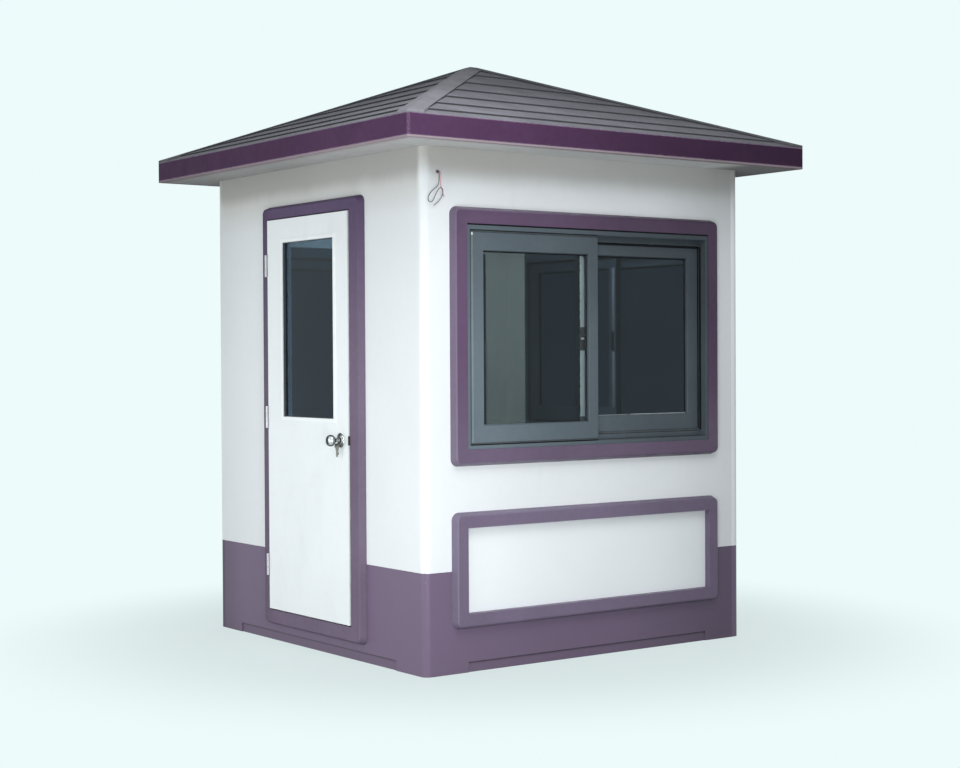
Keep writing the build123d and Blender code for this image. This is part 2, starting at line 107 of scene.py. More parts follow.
def wall_box(node: str, side: Side) -> Box:
    """Gives a CAD node's box as seen from its own wall.

    Args:
        node: The CAD node.
        side: Its wall.

    Returns:
        The lowest and the highest corner: along the wall, outwards and upwards.
    """
    back = side.turn.inverted()
    low, high = (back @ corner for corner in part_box(node))
    outs = sorted((-low.y - HALF_PLAN, -high.y - HALF_PLAN))
    return (Vector((min(low.x, high.x), outs[0], low.z)), Vector((max(low.x, high.x), outs[1], high.z)))


def in_scene(name: str, data: bpy.types.ID) -> bpy.types.Object:
    """Makes an object and puts it in the scene.

    Args:
        name: The object's name.
        data: Its mesh, curve, lamp or camera.

    Returns:
        The object.
    """
    item = bpy.data.objects.new(name, data)
    bpy.context.scene.collection.objects.link(item)
    return item


class Blank:
    """A piece while it is shaped: on the front wall, or round its own middle until it is placed."""

    def __init__(self) -> None:
        """Starts with nothing."""
        self.work = bmesh.new()

    def _soften(self, verts: Sequence[bmesh.types.BMVert], arris: float, segments: int) -> None:
        """Rounds the sharp edges of what was just added.

        Args:
            verts: Its vertices.
            arris: The rounding's width.
            segments: Its steps.
        """
        if arris <= 0:
            return
        edges = {edge for vert in verts for edge in vert.link_edges if edge.calc_face_angle(0.0) > SHARP_EDGE}
        bmesh.ops.bevel(self.work, geom=list(edges), offset=arris, offset_type="OFFSET", segments=segments,
                        profile=0.5, affect="EDGES", material=-1, clamp_overlap=True)

    def _thicken(self, faces: Sequence[bmesh.types.BMFace], shift: Point) -> list[bmesh.types.BMVert]:
        """Gives flat faces a thickness.

        Args:
            faces: The faces.
            shift: How far their copy is moved.

        Returns:
            The copy's vertices.
        """
        made = bmesh.ops.extrude_face_region(self.work, geom=faces)["geom"]
        moved = [item for item in made if isinstance(item, bmesh.types.BMVert)]
        bmesh.ops.translate(self.work, vec=shift, verts=moved)
        return moved

    def block(self, low: Point, high: Point, arris: float = 0.001, segments: int = 2) -> "Blank":
        """Adds a block with rounded edges.

        Args:
            low: Its lowest corner: along the wall, outwards and upwards.
            high: Its highest corner.
            arris: How wide its edges are rounded.
            segments: The rounding's steps.

        Returns:
            The blank.
        """
        first, second = on_wall(*low), on_wall(*high)
        size = Vector([abs(b - a) for a, b in zip(first, second)])
        verts = bmesh.ops.create_cube(self.work, size=1.0)["verts"]
        bmesh.ops.scale(self.work, vec=size, verts=verts)
        bmesh.ops.translate(self.work, vec=(first + second) / 2, verts=verts)
        self._soften(verts, arris, segments)
        return self

    def ring(self, low: Point, high: Point, width: float, arris: float) -> "Blank":
        """Adds a rectangular ring that lies against a wall.

        Args:
            low: Its lowest corner: along the wall, outwards and upwards.
            high: Its highest corner.
            width: The width of its bars.
            arris: How wide its edges are rounded.

        Returns:
            The blank.
        """
        first, second = on_wall(*low), on_wall(*high)
        made = bmesh.ops.create_grid(self.work, x_segments=1, y_segments=1, size=0.5)["verts"]
        bmesh.ops.rotate(self.work, verts=made, cent=(0, 0, 0), matrix=Matrix.Rotation(QUARTER, 3, "X"))
        bmesh.ops.scale(self.work, vec=(second.x - first.x, 1, second.z - first.z), verts=made)
        middle = ((first.x + second.x) / 2, first.y, (first.z + second.z) / 2)
        bmesh.ops.translate(self.work, verts=made, vec=middle)
        inner = made[0].link_faces[0]
        bars = bmesh.ops.inset_region(self.work, faces=[inner], thickness=width, use_even_offset=True,
                                      use_boundary=True)["faces"]
        bmesh.ops.delete(self.work, geom=[inner], context="FACES")
        moved = self._thicken(bars, (0, second.y - first.y, 0))
        self._soften([vert for face in bars if face.is_valid for vert in face.verts] + moved, arris, 1)
        return self

    def turned(self, outline: Outline, steps: int, place: Matrix) -> "Blank":
        """Adds a turned shape.

        Args:
            outline: Its outline as distances from the axis and along it.
            steps: How many steps the turn has.
            place: Takes the Z axis to where the shape stands.

        Returns:
            The blank.
        """
        line = [self.work.verts.new((radius, 0, along)) for radius, along in outline]
        edges = [self.work.edges.new(pair) for pair in zip(line, line[1:])]
        before = set(self.work.verts) - set(line)
        bmesh.ops.spin(self.work, geom=line + edges, cent=(0, 0, 0), axis=(0, 0, 1), angle=2 * math.pi,
                       steps=steps, use_merge=True)
        made = [vert for vert in self.work.verts if vert not in before]
        bmesh.ops.remove_doubles(self.work, verts=made, dist=WELD)
        made = [vert for vert in self.work.verts if vert not in before]
        bmesh.ops.transform(self.work, matrix=place, verts=made)
        return self

    def plate(self, outline: Outline, thickness: float, place: Matrix, arris: float = 0.0) -> "Blank":
        """Adds a flat plate.

        Args:
            outline: Its corners.
            thickness: Its thickness.
            place: Takes the XY plane to where the plate lies.
            arris: How wide its edges are rounded.

        Returns:
            The blank.
        """
        corners = [self.work.verts.new((x, y, -thickness / 2)) for x, y in outline]
        corners += self._thicken([self.work.faces.new(corners)], (0, 0, thickness))
        bmesh.ops.transform(self.work, matrix=place, verts=corners)
        self._soften(corners, arris, 1)
        return self

    def finish(self, name: str, finish: bpy.types.Material, slot: str, side: Side, body: Body = Body.BOOTH,
               replaced: Sequence[str] = (), crease: float = 35.0) -> bpy.types.Object:
        """Makes the blank a piece of the booth.

        Args:
            name: The piece's name.
            finish: Its finish.
            slot: Not used.
            side: The wall that it belongs to.
            body: The body that it moves with.
            replaced: The CAD nodes that it stands for.
            crease: The angle in degrees above which an edge stays sharp.

        Returns:
            The piece.
        """
        bmesh.ops.remove_doubles(self.work, verts=self.work.verts, dist=WELD)
        bmesh.ops.recalc_face_normals(self.work, faces=self.work.faces)
        bmesh.ops.transform(self.work, matrix=side.turn, verts=self.work.verts)
        for face in self.work.faces:
            face.smooth = True
        mesh = bpy.data.meshes.new(name)
        self.work.to_mesh(mesh)
        self.work.free()
        mesh.set_sharp_from_angle(angle=math.radians(crease))
        mesh.materials.append(finish)
        piece = in_scene(name, mesh)
        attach(piece, body.value)
        if replaced:
            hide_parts(*replaced)
        log.info("built %s with %d faces", name, len(mesh.polygons))
        return piece


class Nodes:
    """A node tree while it is built, with the sums that all trees share."""

    looking_rays: tuple[str, ...] = ("Is Camera Ray", "Is Glossy Ray", "Is Transmission Ray")

    def __init__(self, owner: Union[bpy.types.Material, bpy.types.World]) -> None:
        """Starts with an empty tree.

        Args:
            owner: The material or world that the tree belongs to.
        """
        owner.use_nodes = True
        self.tree = owner.node_tree
        self.tree.nodes.clear()

    def add(self, kind: str, inputs: Union[dict, None] = None, **settings: object) -> bpy.types.Node:
        """Adds a node.

        Args:
            kind: The node's type.
            inputs: What its inputs are fed with, by their names or numbers.
            settings: Its properties.

        Returns:
            The new node.
        """
        node = self.tree.nodes.new(kind)
        for key, value in settings.items():
            setattr(node, key, value)
        for key, value in (inputs or {}).items():
            self.feed(node.inputs[key], value)
        return node

    def feed(self, target: Socket, value: object) -> None:
        """Sets a socket.

        Args:
            target: The socket to set.
            value: A socket to join, or the number or colour to write.
        """
        if isinstance(value, Socket):
            self.tree.links.new(value, target)
        elif isinstance(value, tuple) and len(value) < len(target.default_value):
            target.default_value = (*value, 1.0)
        else:
            target.default_value = value

    def sum(self, operation: str, a: Amount, b: Amount = 0.0, clamp: bool = False) -> Socket:
        """Does one sum.

        Args:
            operation: The Math node's operation.
            a: The first value.
            b: The second value.
            clamp: Whether the result is held between 0 and 1.

        Returns:
            The result.
        """
        return self.add("ShaderNodeMath", {0: a, 1: b}, operation=operation, use_clamp=clamp).outputs[0]

    def product(self, *factors: Amount, clamp: bool = False) -> Socket:
        """Multiplies values.

        Args:
            factors: Two or more values.
            clamp: Whether the result is held between 0 and 1.

        Returns:
            The product.
        """
        total, *between, last = factors
        for factor in between:
            total = self.sum("MULTIPLY", total, factor)
        return self.sum("MULTIPLY", total, last, clamp)

    def looking(self) -> Socket:
        """Marks the rays that see the background: the camera's, reflected ones and those through glass.

        Returns:
            1 for such a ray, and otherwise 0.
        """
        rays = self.add("ShaderNodeLightPath")
        camera, glossy, through = (rays.outputs[name] for name in self.looking_rays)
        return self.sum("MAXIMUM", self.sum("MAXIMUM", camera, glossy), through)


class Recipe(Nodes):
    """A material's node tree, with the steps that the finishes share.

    Wherever a number is asked for, the name of a coordinate can be given; see along().
    """

    def __init__(self, name: str) -> None:
        """Starts a material with a Principled shader and nothing else.

        Args:
            name: The material's name.
        """
        self.material = bpy.data.materials.new(name)
        super().__init__(self.material)
        self.shader = self.add("ShaderNodeBsdfPrincipled")
        self.output = self.add("ShaderNodeOutputMaterial", {"Surface": self.shader.outputs["BSDF"]})
        self.place = self.add("ShaderNodeTexCoord").outputs["Object"]
        self.axes = self.add("ShaderNodeSeparateXYZ", {0: self.place}).outputs
        self._known: dict[str, Socket] = {}

    def feed(self, target: Socket, value: object) -> None:
        """Sets a socket, also from the name of a coordinate."""
        super().feed(target, self.along(value) if isinstance(value, str) else value)

    def set(self, **inputs: object) -> None:
        """Sets inputs of the Principled shader, with underscores for the spaces in their names."""
        for name, value in inputs.items():
            self.feed(self.shader.inputs[name.replace("_", " ")], value)

    def mapped(self, stretch: Point = (1, 1, 1), shift: Point = (0, 0, 0)) -> Socket:
        """Stretches and shifts the piece's own coordinates.

        Args:
            stretch: How many times each direction is repeated.
            shift: The shift in metres.

        Returns:
            The mapped coordinates.
        """
        inputs = {"Vector": self.place, "Location": shift, "Scale": stretch}
        return self.add("ShaderNodeMapping", inputs).outputs["Vector"]

    def noise(self, scale: float, detail: float, stretch: Point = (1, 1, 1), shift: Point = (0, 0, 0),
              bend: float = 0.0) -> Socket:
        """Makes soft noise.

        Args:
            scale: Features per metre.
            detail: Octaves.
            stretch: How many times each direction is repeated.
            shift: The pattern's shift.
            bend: How far the pattern is distorted.

        Returns:
            The noise, about 0.5 on average.
        """
        inputs = {"Vector": self.mapped(stretch, shift), "Scale": scale, "Detail": detail, "Roughness": 0.55,
                  "Distortion": bend}
        return self.add("ShaderNodeTexNoise", inputs).outputs["Fac"]

    def drift(self, low: float, high: float, scale: float, detail: float, stretch: Point = (1, 1, 1),
              shift: Point = (0, 0, 0)) -> Socket:
        """Makes noise that wanders between two values.

        Args:
            low: The lowest value.
            high: The highest value.
            scale: Features per metre.
            detail: Octaves.
            stretch: How many times each direction is repeated.
            shift: The pattern's shift.

        Returns:
            The value.
        """
        return self.span(self.noise(scale, detail, stretch, shift), 0.3, 0.7, low, high)

    def cells(self, scale: float) -> Socket:
        """Gives the distance to the middle of the nearest cell in a pattern of so many cells per metre."""
        return self.add("ShaderNodeTexVoronoi", {"Vector": self.mapped(), "Scale": scale}).outputs["Distance"]

    def along(self, name: str) -> Socket:
        """Gives a coordinate, which is made once.

        Args:
            name: "X", "Y" or "Z"; "outer" or "inner", the larger or the smaller distance from the booth's
                middle along X and Y; or "wall", the distance to the right along the front, right or back wall.

        Returns:
            The coordinate in metres.
        """
        if name in ("X", "Y", "Z"):
            return self.axes[name]
        if name not in self._known:
            if name == "wall":
                self._known[name] = self._along_wall()
            else:
                operation = {"outer": "MAXIMUM", "inner": "MINIMUM"}[name]
                self._known[name] = self.sum(operation, self.sum("ABSOLUTE", "X"), self.sum("ABSOLUTE", "Y"))
        return self._known[name]

    def _along_wall(self) -> Socket:
        """Works out the distance along whichever of the front, right and back walls the point lies on.

        Returns:
            The distance to the right, which is 0 on the door's wall.
        """
        edge = HALF_PLAN - 0.05
        front = self.product("X", self.sum("LESS_THAN", "Y", -edge))
        back = self.product("X", self.sum("GREATER_THAN", "Y", edge))
        right = self.product("Y", self.sum("GREATER_THAN", "X", edge))
        return self.sum("SUBTRACT", self.sum("ADD", front, right), back)

    def true_normal(self) -> Socket:
        """Gives the surface's normal before any bump."""
        return self.add("ShaderNodeNewGeometry").outputs["True Normal"]

    def facing(self, axis: str) -> Socket:
        """Gives one part of the surface's true normal."""
        return self.add("ShaderNodeSeparateXYZ", {0: self.true_normal()}).outputs[axis]

    def span(self, value: Amount, low: float, high: float, to_low: Amount = 0.0, to_high: Amount = 1.0) -> Socket:
        """Maps a range to another one smoothly, and holds the result inside it.

        Args:
            value: The value.
            low: Where the range starts.
            high: Where it ends.
            to_low: The result at low.
            to_high: The result at high.

        Returns:
            The mapped value.
        """
        inputs = {"Value": value, "From Min": low, "From Max": high, "To Min": to_low, "To Max": to_high}
        return self.add("ShaderNodeMapRange", inputs, interpolation_type="SMOOTHSTEP").outputs["Result"]

    def mix(self, share: Amount, a: object, b: object) -> Socket:
        """Mixes two colours, of which the share says how much of the second one shows."""
        return self.add("ShaderNodeMix", {"Factor": share, 6: a, 7: b}, data_type="RGBA").outputs[2]

    def shade(self, colour: object, *factors: Amount) -> Socket:
        """Makes a colour lighter or darker.

        Args:
            colour: The colour.
            factors: What it is multiplied by.

        Returns:
            The shaded colour.
        """
        factor = self.product(*factors) if len(factors) > 1 else factors[0]
        return self.add("ShaderNodeVectorMath", {0: colour, "Scale": factor}, operation="SCALE").outputs[0]

    def grazing(self, blend: float) -> Socket:
        """Gives how far the surface turns away from the eye, from 0 to 1."""
        return self.add("ShaderNodeLayerWeight", {"Blend": blend}).outputs["Facing"]

    def rounded(self, radius: float) -> Socket:
        """Gives a normal that rounds sharp edges to a radius."""
        return self.add("ShaderNodeBevel", {"Radius": radius}, samples=4).outputs["Normal"]

    def edges(self, normal: Socket) -> Socket:
        """Finds sharp edges.

        Args:
            normal: A normal from rounded().

        Returns:
            About 1 on an edge and 0 on a flat face.
        """
        flatness = self.add("ShaderNodeVectorMath", {0: normal, 1: self.true_normal()}, operation="DOT_PRODUCT")
        return self.span(flatness.outputs["Value"], 0.995, 0.8)

    def bump(self, height: Amount, distance: float, normal: Union[Socket, None] = None) -> Socket:
        """Turns a height into a normal.

        Args:
            height: The height, from 0 to 1.
            distance: How deep a height of 1 is.
            normal: The normal that it adds to.

        Returns:
            The normal.
        """
        node = self.add("ShaderNodeBump", {"Distance": distance, "Height": height})
        if normal is not None:
            self.feed(node.inputs["Normal"], normal)
        return node.outputs["Normal"]


@dataclass(frozen=True)
class Coat:
    """A hard finish: paint, gel coat, plastic or metal, with drift in its colour, grain, soil, worn edges and painted
    shade.

    Attributes:
        name: The finish's name.
        colour: Its colour.
        drift: How far the colour wanders, as a share of it.
        roughness: Its roughness.
        unevenness: How far the roughness wanders.
        metallic: 0 for paint and plastic, 1 for bare metal.
        grain: The depth of the fine texture.
        grain_scale: The fine texture's features per metre.
        ripple: The depth of the slow waviness.
        edge_radius: The radius that sharp edges show.
        edge_colour: The colour of worn edges.
        edge_wear: How much of each edge is worn.
        soil: The colour of dirt.
        soil_share: How much dirt there is.
        gloss: The Principled shader's specular level.
        painted_shades: Painted shade: how the colour darkens along coordinates, each given as for Recipe.span().
    """

    name: str
    colour: Colour
    drift: float = 0.04
    roughness: float = 0.4
    unevenness: float = 0.08
    metallic: float = 0.0
    grain: float = 0.0001
    grain_scale: float = 400.0
    ripple: float = 0.0003
    edge_radius: float = 0.0012
    edge_colour: Colour = (0.6, 0.6, 0.6)
    edge_wear: float = 0.25
    soil: Colour = (0.17, 0.155, 0.135)
    soil_share: float = 0.12
    gloss: float = 0.5
    painted_shades: tuple[ShadeRamp, ...] = ()

    def paint(self, recipe: Recipe) -> object:
        """Gives the colour before drift, wear and soil: a colour, or a socket that gives it."""
        return self.colour

    def relief(self, recipe: Recipe, normal: Socket) -> Socket:
        """Adds the finish's waviness and grain to a normal with rounded edges."""
        normal = recipe.bump(recipe.noise(5.0, 2), self.ripple, normal)
        return recipe.bump(recipe.noise(self.grain_scale, 2), self.grain, normal)

    def soiling(self, recipe: Recipe) -> Socket:
        """Gives where the dirt lies: in patches, and more of it near the ground.

        Args:
            recipe: The node tree.

        Returns:
            The share of dirt.
        """
        patches = recipe.span(recipe.noise(9.0, 6, (1, 1, 0.5), bend=0.6), 0.48, 0.78)
        low = recipe.span("Z", 0.16, 0.0, 0.35, 1.6)
        return recipe.product(patches, low, self.soil_share, clamp=True)

    def wear(self, recipe: Recipe, normal: Socket) -> Socket:
        """Gives where the edges are worn.

        Args:
            recipe: The node tree.
            normal: The normal with rounded edges.

        Returns:
            The share of wear.
        """
        starts, ends = 0.60 - 0.3 * self.edge_wear, 0.72 - 0.2 * self.edge_wear
        chips = recipe.span(recipe.noise(70.0, 5, shift=(1, 5, 2)), starts, ends)
        return recipe.product(recipe.edges(normal), chips, 1.6 * self.edge_wear, clamp=True)

    def make(self) -> bpy.types.Material:
        """Builds the material.

        Returns:
            The material.
        """
        recipe = Recipe(self.name)
        rounded = recipe.rounded(self.edge_radius)
        slow = recipe.drift(1 - self.drift, 1 + self.drift, 2.3, 3)
        quick = recipe.drift(1 - self.drift / 2, 1 + self.drift / 2, 34.0, 4, shift=(3, 1, 2))
        # Painted shade: the colour darkens along the given coordinates.
        painted_shades = (recipe.span(*ramp) for ramp in self.painted_shades)
        soil = self.soiling(recipe)
        colour = recipe.mix(soil, recipe.shade(self.paint(recipe), slow, quick, *painted_shades), self.soil)
        low, high = self.roughness - self.unevenness, self.roughness + self.unevenness
        rough = recipe.drift(low, high, 14.0, 4, shift=(7, 2, 4))
        recipe.set(Base_Color=recipe.mix(self.wear(recipe, rounded), colour, self.edge_colour),
                   Roughness=recipe.sum("ADD", rough, recipe.product(soil, 0.5), clamp=True),
                   Metallic=self.metallic, Specular_IOR_Level=self.gloss, Normal=self.relief(recipe, rounded))
        return recipe.material


@dataclass(frozen=True)
class GelCoatWall(Coat):
    """White gel coat with a purple-grey band round the foot of the walls, both with painted shade and shadow.

    Attributes:
        band_colour: The band's colour.
        scuff_colour: The band's colour where it is scuffed.
        band_top: How high the band reaches.
        band_painted_shade: Painted shade that darkens it to the right.
        band_far_end_painted_shade: Painted shade that darkens it on the door's wall past the hinges.
        rebate_top: The height of the rebate along the foot.
        rebate_reach: How far the rebate reaches from the middle of a wall.
        rebate_shadow_colour: The colour of the painted shadow in the rebate, under its edge.
        corner: Where a wall's end starts and where it is rounded off, from the middle.
        corner_highlight_rise: How much higher the painted shadow under the eaves starts there, which leaves a painted
            highlight up the rounded corner.
        eaves_shadow_colour: The colour of the painted shadow under the eaves.
        front_eaves_shadow: The heights at which the painted shadow under the eaves starts on the front and is deepest.
        front_eaves_shadow_share: How deep that painted shadow is along the wall.
        door_eaves_shadow: The same heights on the door's wall.
        door_eaves_shadow_share: How deep the painted shadow is along that wall.
        eaves: The heights between which the painted shade right under the eaves deepens.
        eaves_shade: How much darker the painted shade makes the door's wall there.
        front_eaves_shade: How much darker the painted shade makes the other walls there.
        right_end: Where the painted shade on the other walls starts to the right, and where it is deepest.
        right_end_shade: How dark that painted shade makes them there.
        door_wall_far_end_shade: Painted shade that darkens the door's wall towards the back.
        inside_colour: The colour of the walls' inner faces.
        door_side_shade: Painted shade that makes the door's wall darker than the others.
    """

    band_colour: Colour = (0.165, 0.120, 0.190)
    scuff_colour: Colour = (0.26, 0.22, 0.28)
    band_top: float = 0.431
    band_painted_shade: ShadeRamp = ("wall", 0.1, 0.9, 1.04, 0.74)
    band_far_end_painted_shade: ShadeRamp = ("Y", 0.62, 0.92, 1.0, 0.70)
    rebate_top: float = 0.044
    rebate_reach: float = 0.70
    rebate_shadow_colour: Colour = (0.050, 0.038, 0.058)
    corner: Reach = (0.845, 0.885)
    corner_highlight_rise: float = 0.035
    eaves_shadow_colour: Colour = (0.60, 0.59, 0.55)
    front_eaves_shadow: Reach = (2.028, 2.148)
    front_eaves_shadow_share: ShadeRamp = ("wall", -0.75, 0.0, 0.92, 0.68)
    door_eaves_shadow: Reach = (1.90, 2.14)
    door_eaves_shadow_share: ShadeRamp = ("Y", -0.7, 0.7, 0.80, 0.95)
    eaves: Reach = (2.045, 2.125)
    eaves_shade: float = 0.68
    front_eaves_shade: float = 0.92
    right_end: Reach = (0.30, 0.85)
    right_end_shade: ShadeRamp = ("Z", 1.5, 2.0, 0.88, 0.80)
    door_wall_far_end_shade: ShadeRamp = ("Y", 0.45, 0.95, 1.0, 0.90)
    inside_colour: Colour = (0.74, 0.75, 0.66)
    door_side_shade: float = 0.95

    def paint(self, recipe: Recipe) -> Socket:
        """Gives white, and the band's colour on the outer faces below its top edge.

        Args:
            recipe: The node tree.

        Returns:
            The colour.
        """
        outside = recipe.sum("GREATER_THAN", "outer", HALF_PLAN - 0.02)
        door_side = recipe.sum("LESS_THAN", "X", 0.02 - HALF_PLAN)
        line = recipe.sum("ADD", "Z", recipe.drift(-0.0006, 0.0006, 60.0, 2))
        band = recipe.product(outside, recipe.sum("LESS_THAN", line, self.band_top))
        white = recipe.mix(outside, self.inside_colour, self.skin(recipe, door_side))
        return recipe.mix(band, white, self.purple(recipe, door_side))

    def purple(self, recipe: Recipe, door_side: Socket) -> Socket:
        """Gives the band: scuffed, with painted shadow in the rebate, and painted shade to the right and past the
        hinges.

        Args:
            recipe: The node tree.
            door_side: 1 on the door's wall.

        Returns:
            The colour.
        """
        scuffs = recipe.span(recipe.noise(40.0, 5, (0.25, 0.25, 1.6), bend=0.6), 0.62, 0.80, 0.0, 0.18)
        purple = recipe.mix(scuffs, self.band_colour, self.scuff_colour)
        # Painted shade: the band darker to the right.
        purple = recipe.shade(purple, recipe.span(*self.band_painted_shade))
        # Painted shadow in the rebate, deepest right under its top edge.
        rebate_shadow = recipe.product(
            recipe.sum("LESS_THAN", "outer", HALF_PLAN - 0.002), recipe.sum("LESS_THAN", "inner", self.rebate_reach),
            recipe.sum("LESS_THAN", "Z", self.rebate_top + 0.001),
            recipe.span("Z", self.rebate_top - 0.011, self.rebate_top, 0.10, 0.95))
        purple = recipe.mix(rebate_shadow, purple, self.rebate_shadow_colour)
        # Painted shade: the band darker on the door's wall past the hinges.
        return recipe.mix(door_side, purple, recipe.shade(purple, recipe.span(*self.band_far_end_painted_shade)))

    def skin(self, recipe: Recipe, door_side: Socket) -> Socket:
        """Gives the white above the band, with painted shadow under the eaves, a painted highlight up the rounded
        corner, and painted shade to the right and on the door's wall.

        Args:
            recipe: The node tree.
            door_side: 1 on the door's wall.

        Returns:
            The colour.
        """
        # Painted highlight: up the rounded corner, the painted shadow under the eaves starts higher.
        corner = recipe.span("inner", *self.corner)
        height = recipe.sum("ADD", "Z", recipe.drift(-0.005, 0.005, 7.0, 3, (1, 1, 0.3)))
        height = recipe.sum("SUBTRACT", height, recipe.product(corner, self.corner_highlight_rise))
        door_side = recipe.product(door_side, recipe.sum("SUBTRACT", 1.0, corner))
        # Painted shadow under the eaves.
        front_eaves_shadow = recipe.product(recipe.span(height, *self.front_eaves_shadow), recipe.span(*self.front_eaves_shadow_share))
        door_eaves_shadow = recipe.span(height, *self.door_eaves_shadow, 0.0, recipe.span(*self.door_eaves_shadow_share))
        eaves_shadow = recipe.mix(door_side, front_eaves_shadow, door_eaves_shadow)
        # Painted shade: the other walls darker towards their right ends.
        front = recipe.shade(self.colour, recipe.span("wall", *self.right_end, 1.0, recipe.span(*self.right_end_shade)))
        # Painted shade: the door's wall darker overall and towards the back.
        door = recipe.shade(self.colour, self.door_side_shade, recipe.span(*self.door_wall_far_end_shade))
        skin = recipe.mix(eaves_shadow, recipe.mix(door_side, front, door), self.eaves_shadow_colour)
        # Painted shade right under the eaves, deeper on the door's wall.
        under = recipe.span(door_side, 0.0, 1.0, self.front_eaves_shade, self.eaves_shade)
        return recipe.shade(skin, recipe.span(height, *self.eaves, 1.0, under))

    def soiling(self, recipe: Recipe) -> Socket:
        """Gives streaks that run down the wall, and splashes near the ground.

        Args:
            recipe: The node tree.

        Returns:
            The share of dirt.
        """
        streaks = recipe.span(recipe.noise(26.0, 4, (1, 1, 0.04)), 0.58, 0.85, 0.0, 0.16)
        splash = recipe.span("Z", 0.11, 0.0, 0.0, 1.5)
        grit = recipe.product(splash, recipe.span(recipe.noise(55.0, 6), 0.40, 0.72))
        return recipe.product(recipe.sum("ADD", streaks, grit), self.soil_share, clamp=True)


@dataclass(frozen=True)
class RoofShell(Coat):
    """Matt grey moulded shell of the roof, with painted shadow on the risers under its lap edges and painted shade
    across its slopes.

    Attributes:
        lap_shadow_colour: The colour of the painted shadow on the risers between courses.
        first_lap: The height above which risers get the painted shadow.
        lap_shadow_share: How much of a riser the painted shadow covers.
        hip_shade: How dark the painted shade makes the shell at the hips other than the near one.
        roof_painted_shade: Painted shade that darkens it up the slope and away from the near corner.
    """

    lap_shadow_colour: Colour = (0.060, 0.064, 0.068)
    first_lap: float = 2.303
    lap_shadow_share: float = 0.9
    hip_shade: float = 1.0
    roof_painted_shade: tuple[ShadeRamp, ...] = (("Z", 2.30, 2.68, 1.10, 0.72), ("X", -ROOF_HALF, ROOF_HALF, 1.05, 0.62),
                                    ("Y", -ROOF_HALF, ROOF_HALF, 1.05, 0.85))

    def paint(self, recipe: Recipe) -> Socket:
        """Gives granules, streaks that run down the slope, painted shade up the slope, away from the near corner and at
        the far hips, and painted shadow on the risers.

        Args:
            recipe: The node tree.

        Returns:
            The colour.
        """
        granules = recipe.span(recipe.cells(650.0), 0.15, 0.75, 1.12, 0.88)
        runs = recipe.span(recipe.noise(6.0, 5, (1, 1, 0.2), bend=0.4), 0.35, 0.70, 0.9, 1.08)
        # Painted shade: palest low at the near corner.
        roof_painted_shade = (recipe.span(*ramp) for ramp in self.roof_painted_shade)
        # Painted shade on the far hips.
        far_hips_shade = recipe.span(recipe.sum("ADD", "X", "Y"), -0.22, -0.06, 1.0, self.hip_shade)
        colour = recipe.shade(self.colour, granules, runs, *roof_painted_shade, far_hips_shade)
        # Painted shadow on the risers, which face sideways under each lap.
        upright = recipe.span(recipe.facing("Z"), 0.75, 0.45)
        riser_shadow = recipe.product(upright, recipe.sum("GREATER_THAN", "Z", self.first_lap), self.lap_shadow_share)
        return recipe.mix(riser_shadow, colour, self.lap_shadow_colour)


@dataclass(frozen=True)
class SoffitShell(Coat):
    """The grey board under the eaves and over the room, with a pale edge outside, painted shade to the right and back,
    and painted light over the front wall.

    Attributes:
        lip_colour: The colour of its outer edge.
        ceiling_colour: The colour over the room.
        lip: Where the outer edge starts, from the middle of the booth.
        lip_painted_shade: Painted shade that darkens the edge to the right.
        board_painted_shade: Painted shade that darkens the board to the right.
        back_painted_shade: Painted shade that darkens both towards the back.
        front_strip_painted_light: Painted light that makes the board pale over the front wall, and where that ends at
            its right end.
    """

    lip_colour: Colour = (0.37, 0.305, 0.335)
    ceiling_colour: Colour = (0.17, 0.18, 0.175)
    lip: float = HALF_PLAN + 0.190
    lip_painted_shade: ShadeRamp = ("X", -1.0, ROOF_HALF, 1.0, 0.75)
    board_painted_shade: ShadeRamp = ("X", -1.0, ROOF_HALF, 0.88, 0.50)
    back_painted_shade: ShadeRamp = ("Y", -1.0, ROOF_HALF, 1.0, 0.74)
    front_strip_painted_light: tuple[ShadeRamp, ShadeRamp] = (("X", -0.9, 0.7, 0.96, 1.20), ("X", 0.66, 0.84, 1.2, 0.5))

    def paint(self, recipe: Recipe) -> Socket:
        """Gives grey under the eaves with painted shade to the right and back, painted light over the front wall, the
        pale edge, and the ceiling's colour.

        Args:
            recipe: The node tree.

        Returns:
            The colour.
        """
        edge = recipe.span("outer", self.lip - 0.03, self.lip + 0.02)
        inside = recipe.sum("LESS_THAN", "outer", HALF_PLAN - 0.03)
        # Painted shade towards the back, and for the edge and the board to the right.
        back_shade = recipe.span(*self.back_painted_shade)
        lip = recipe.shade(self.lip_colour, recipe.span(*self.lip_painted_shade), back_shade)
        front = recipe.product(recipe.sum("LESS_THAN", "Y", -HALF_PLAN), recipe.sum("LESS_THAN", "X", HALF_PLAN))
        # Painted light over the front wall.
        strip = recipe.sum("MINIMUM", *(recipe.span(*ramp) for ramp in self.front_strip_painted_light))
        board = recipe.product(recipe.span(*self.board_painted_shade), back_shade)
        board = recipe.sum("MAXIMUM", board, recipe.product(front, strip))
        return recipe.mix(inside, recipe.mix(edge, recipe.shade(self.colour, board), lip), self.ceiling_colour)


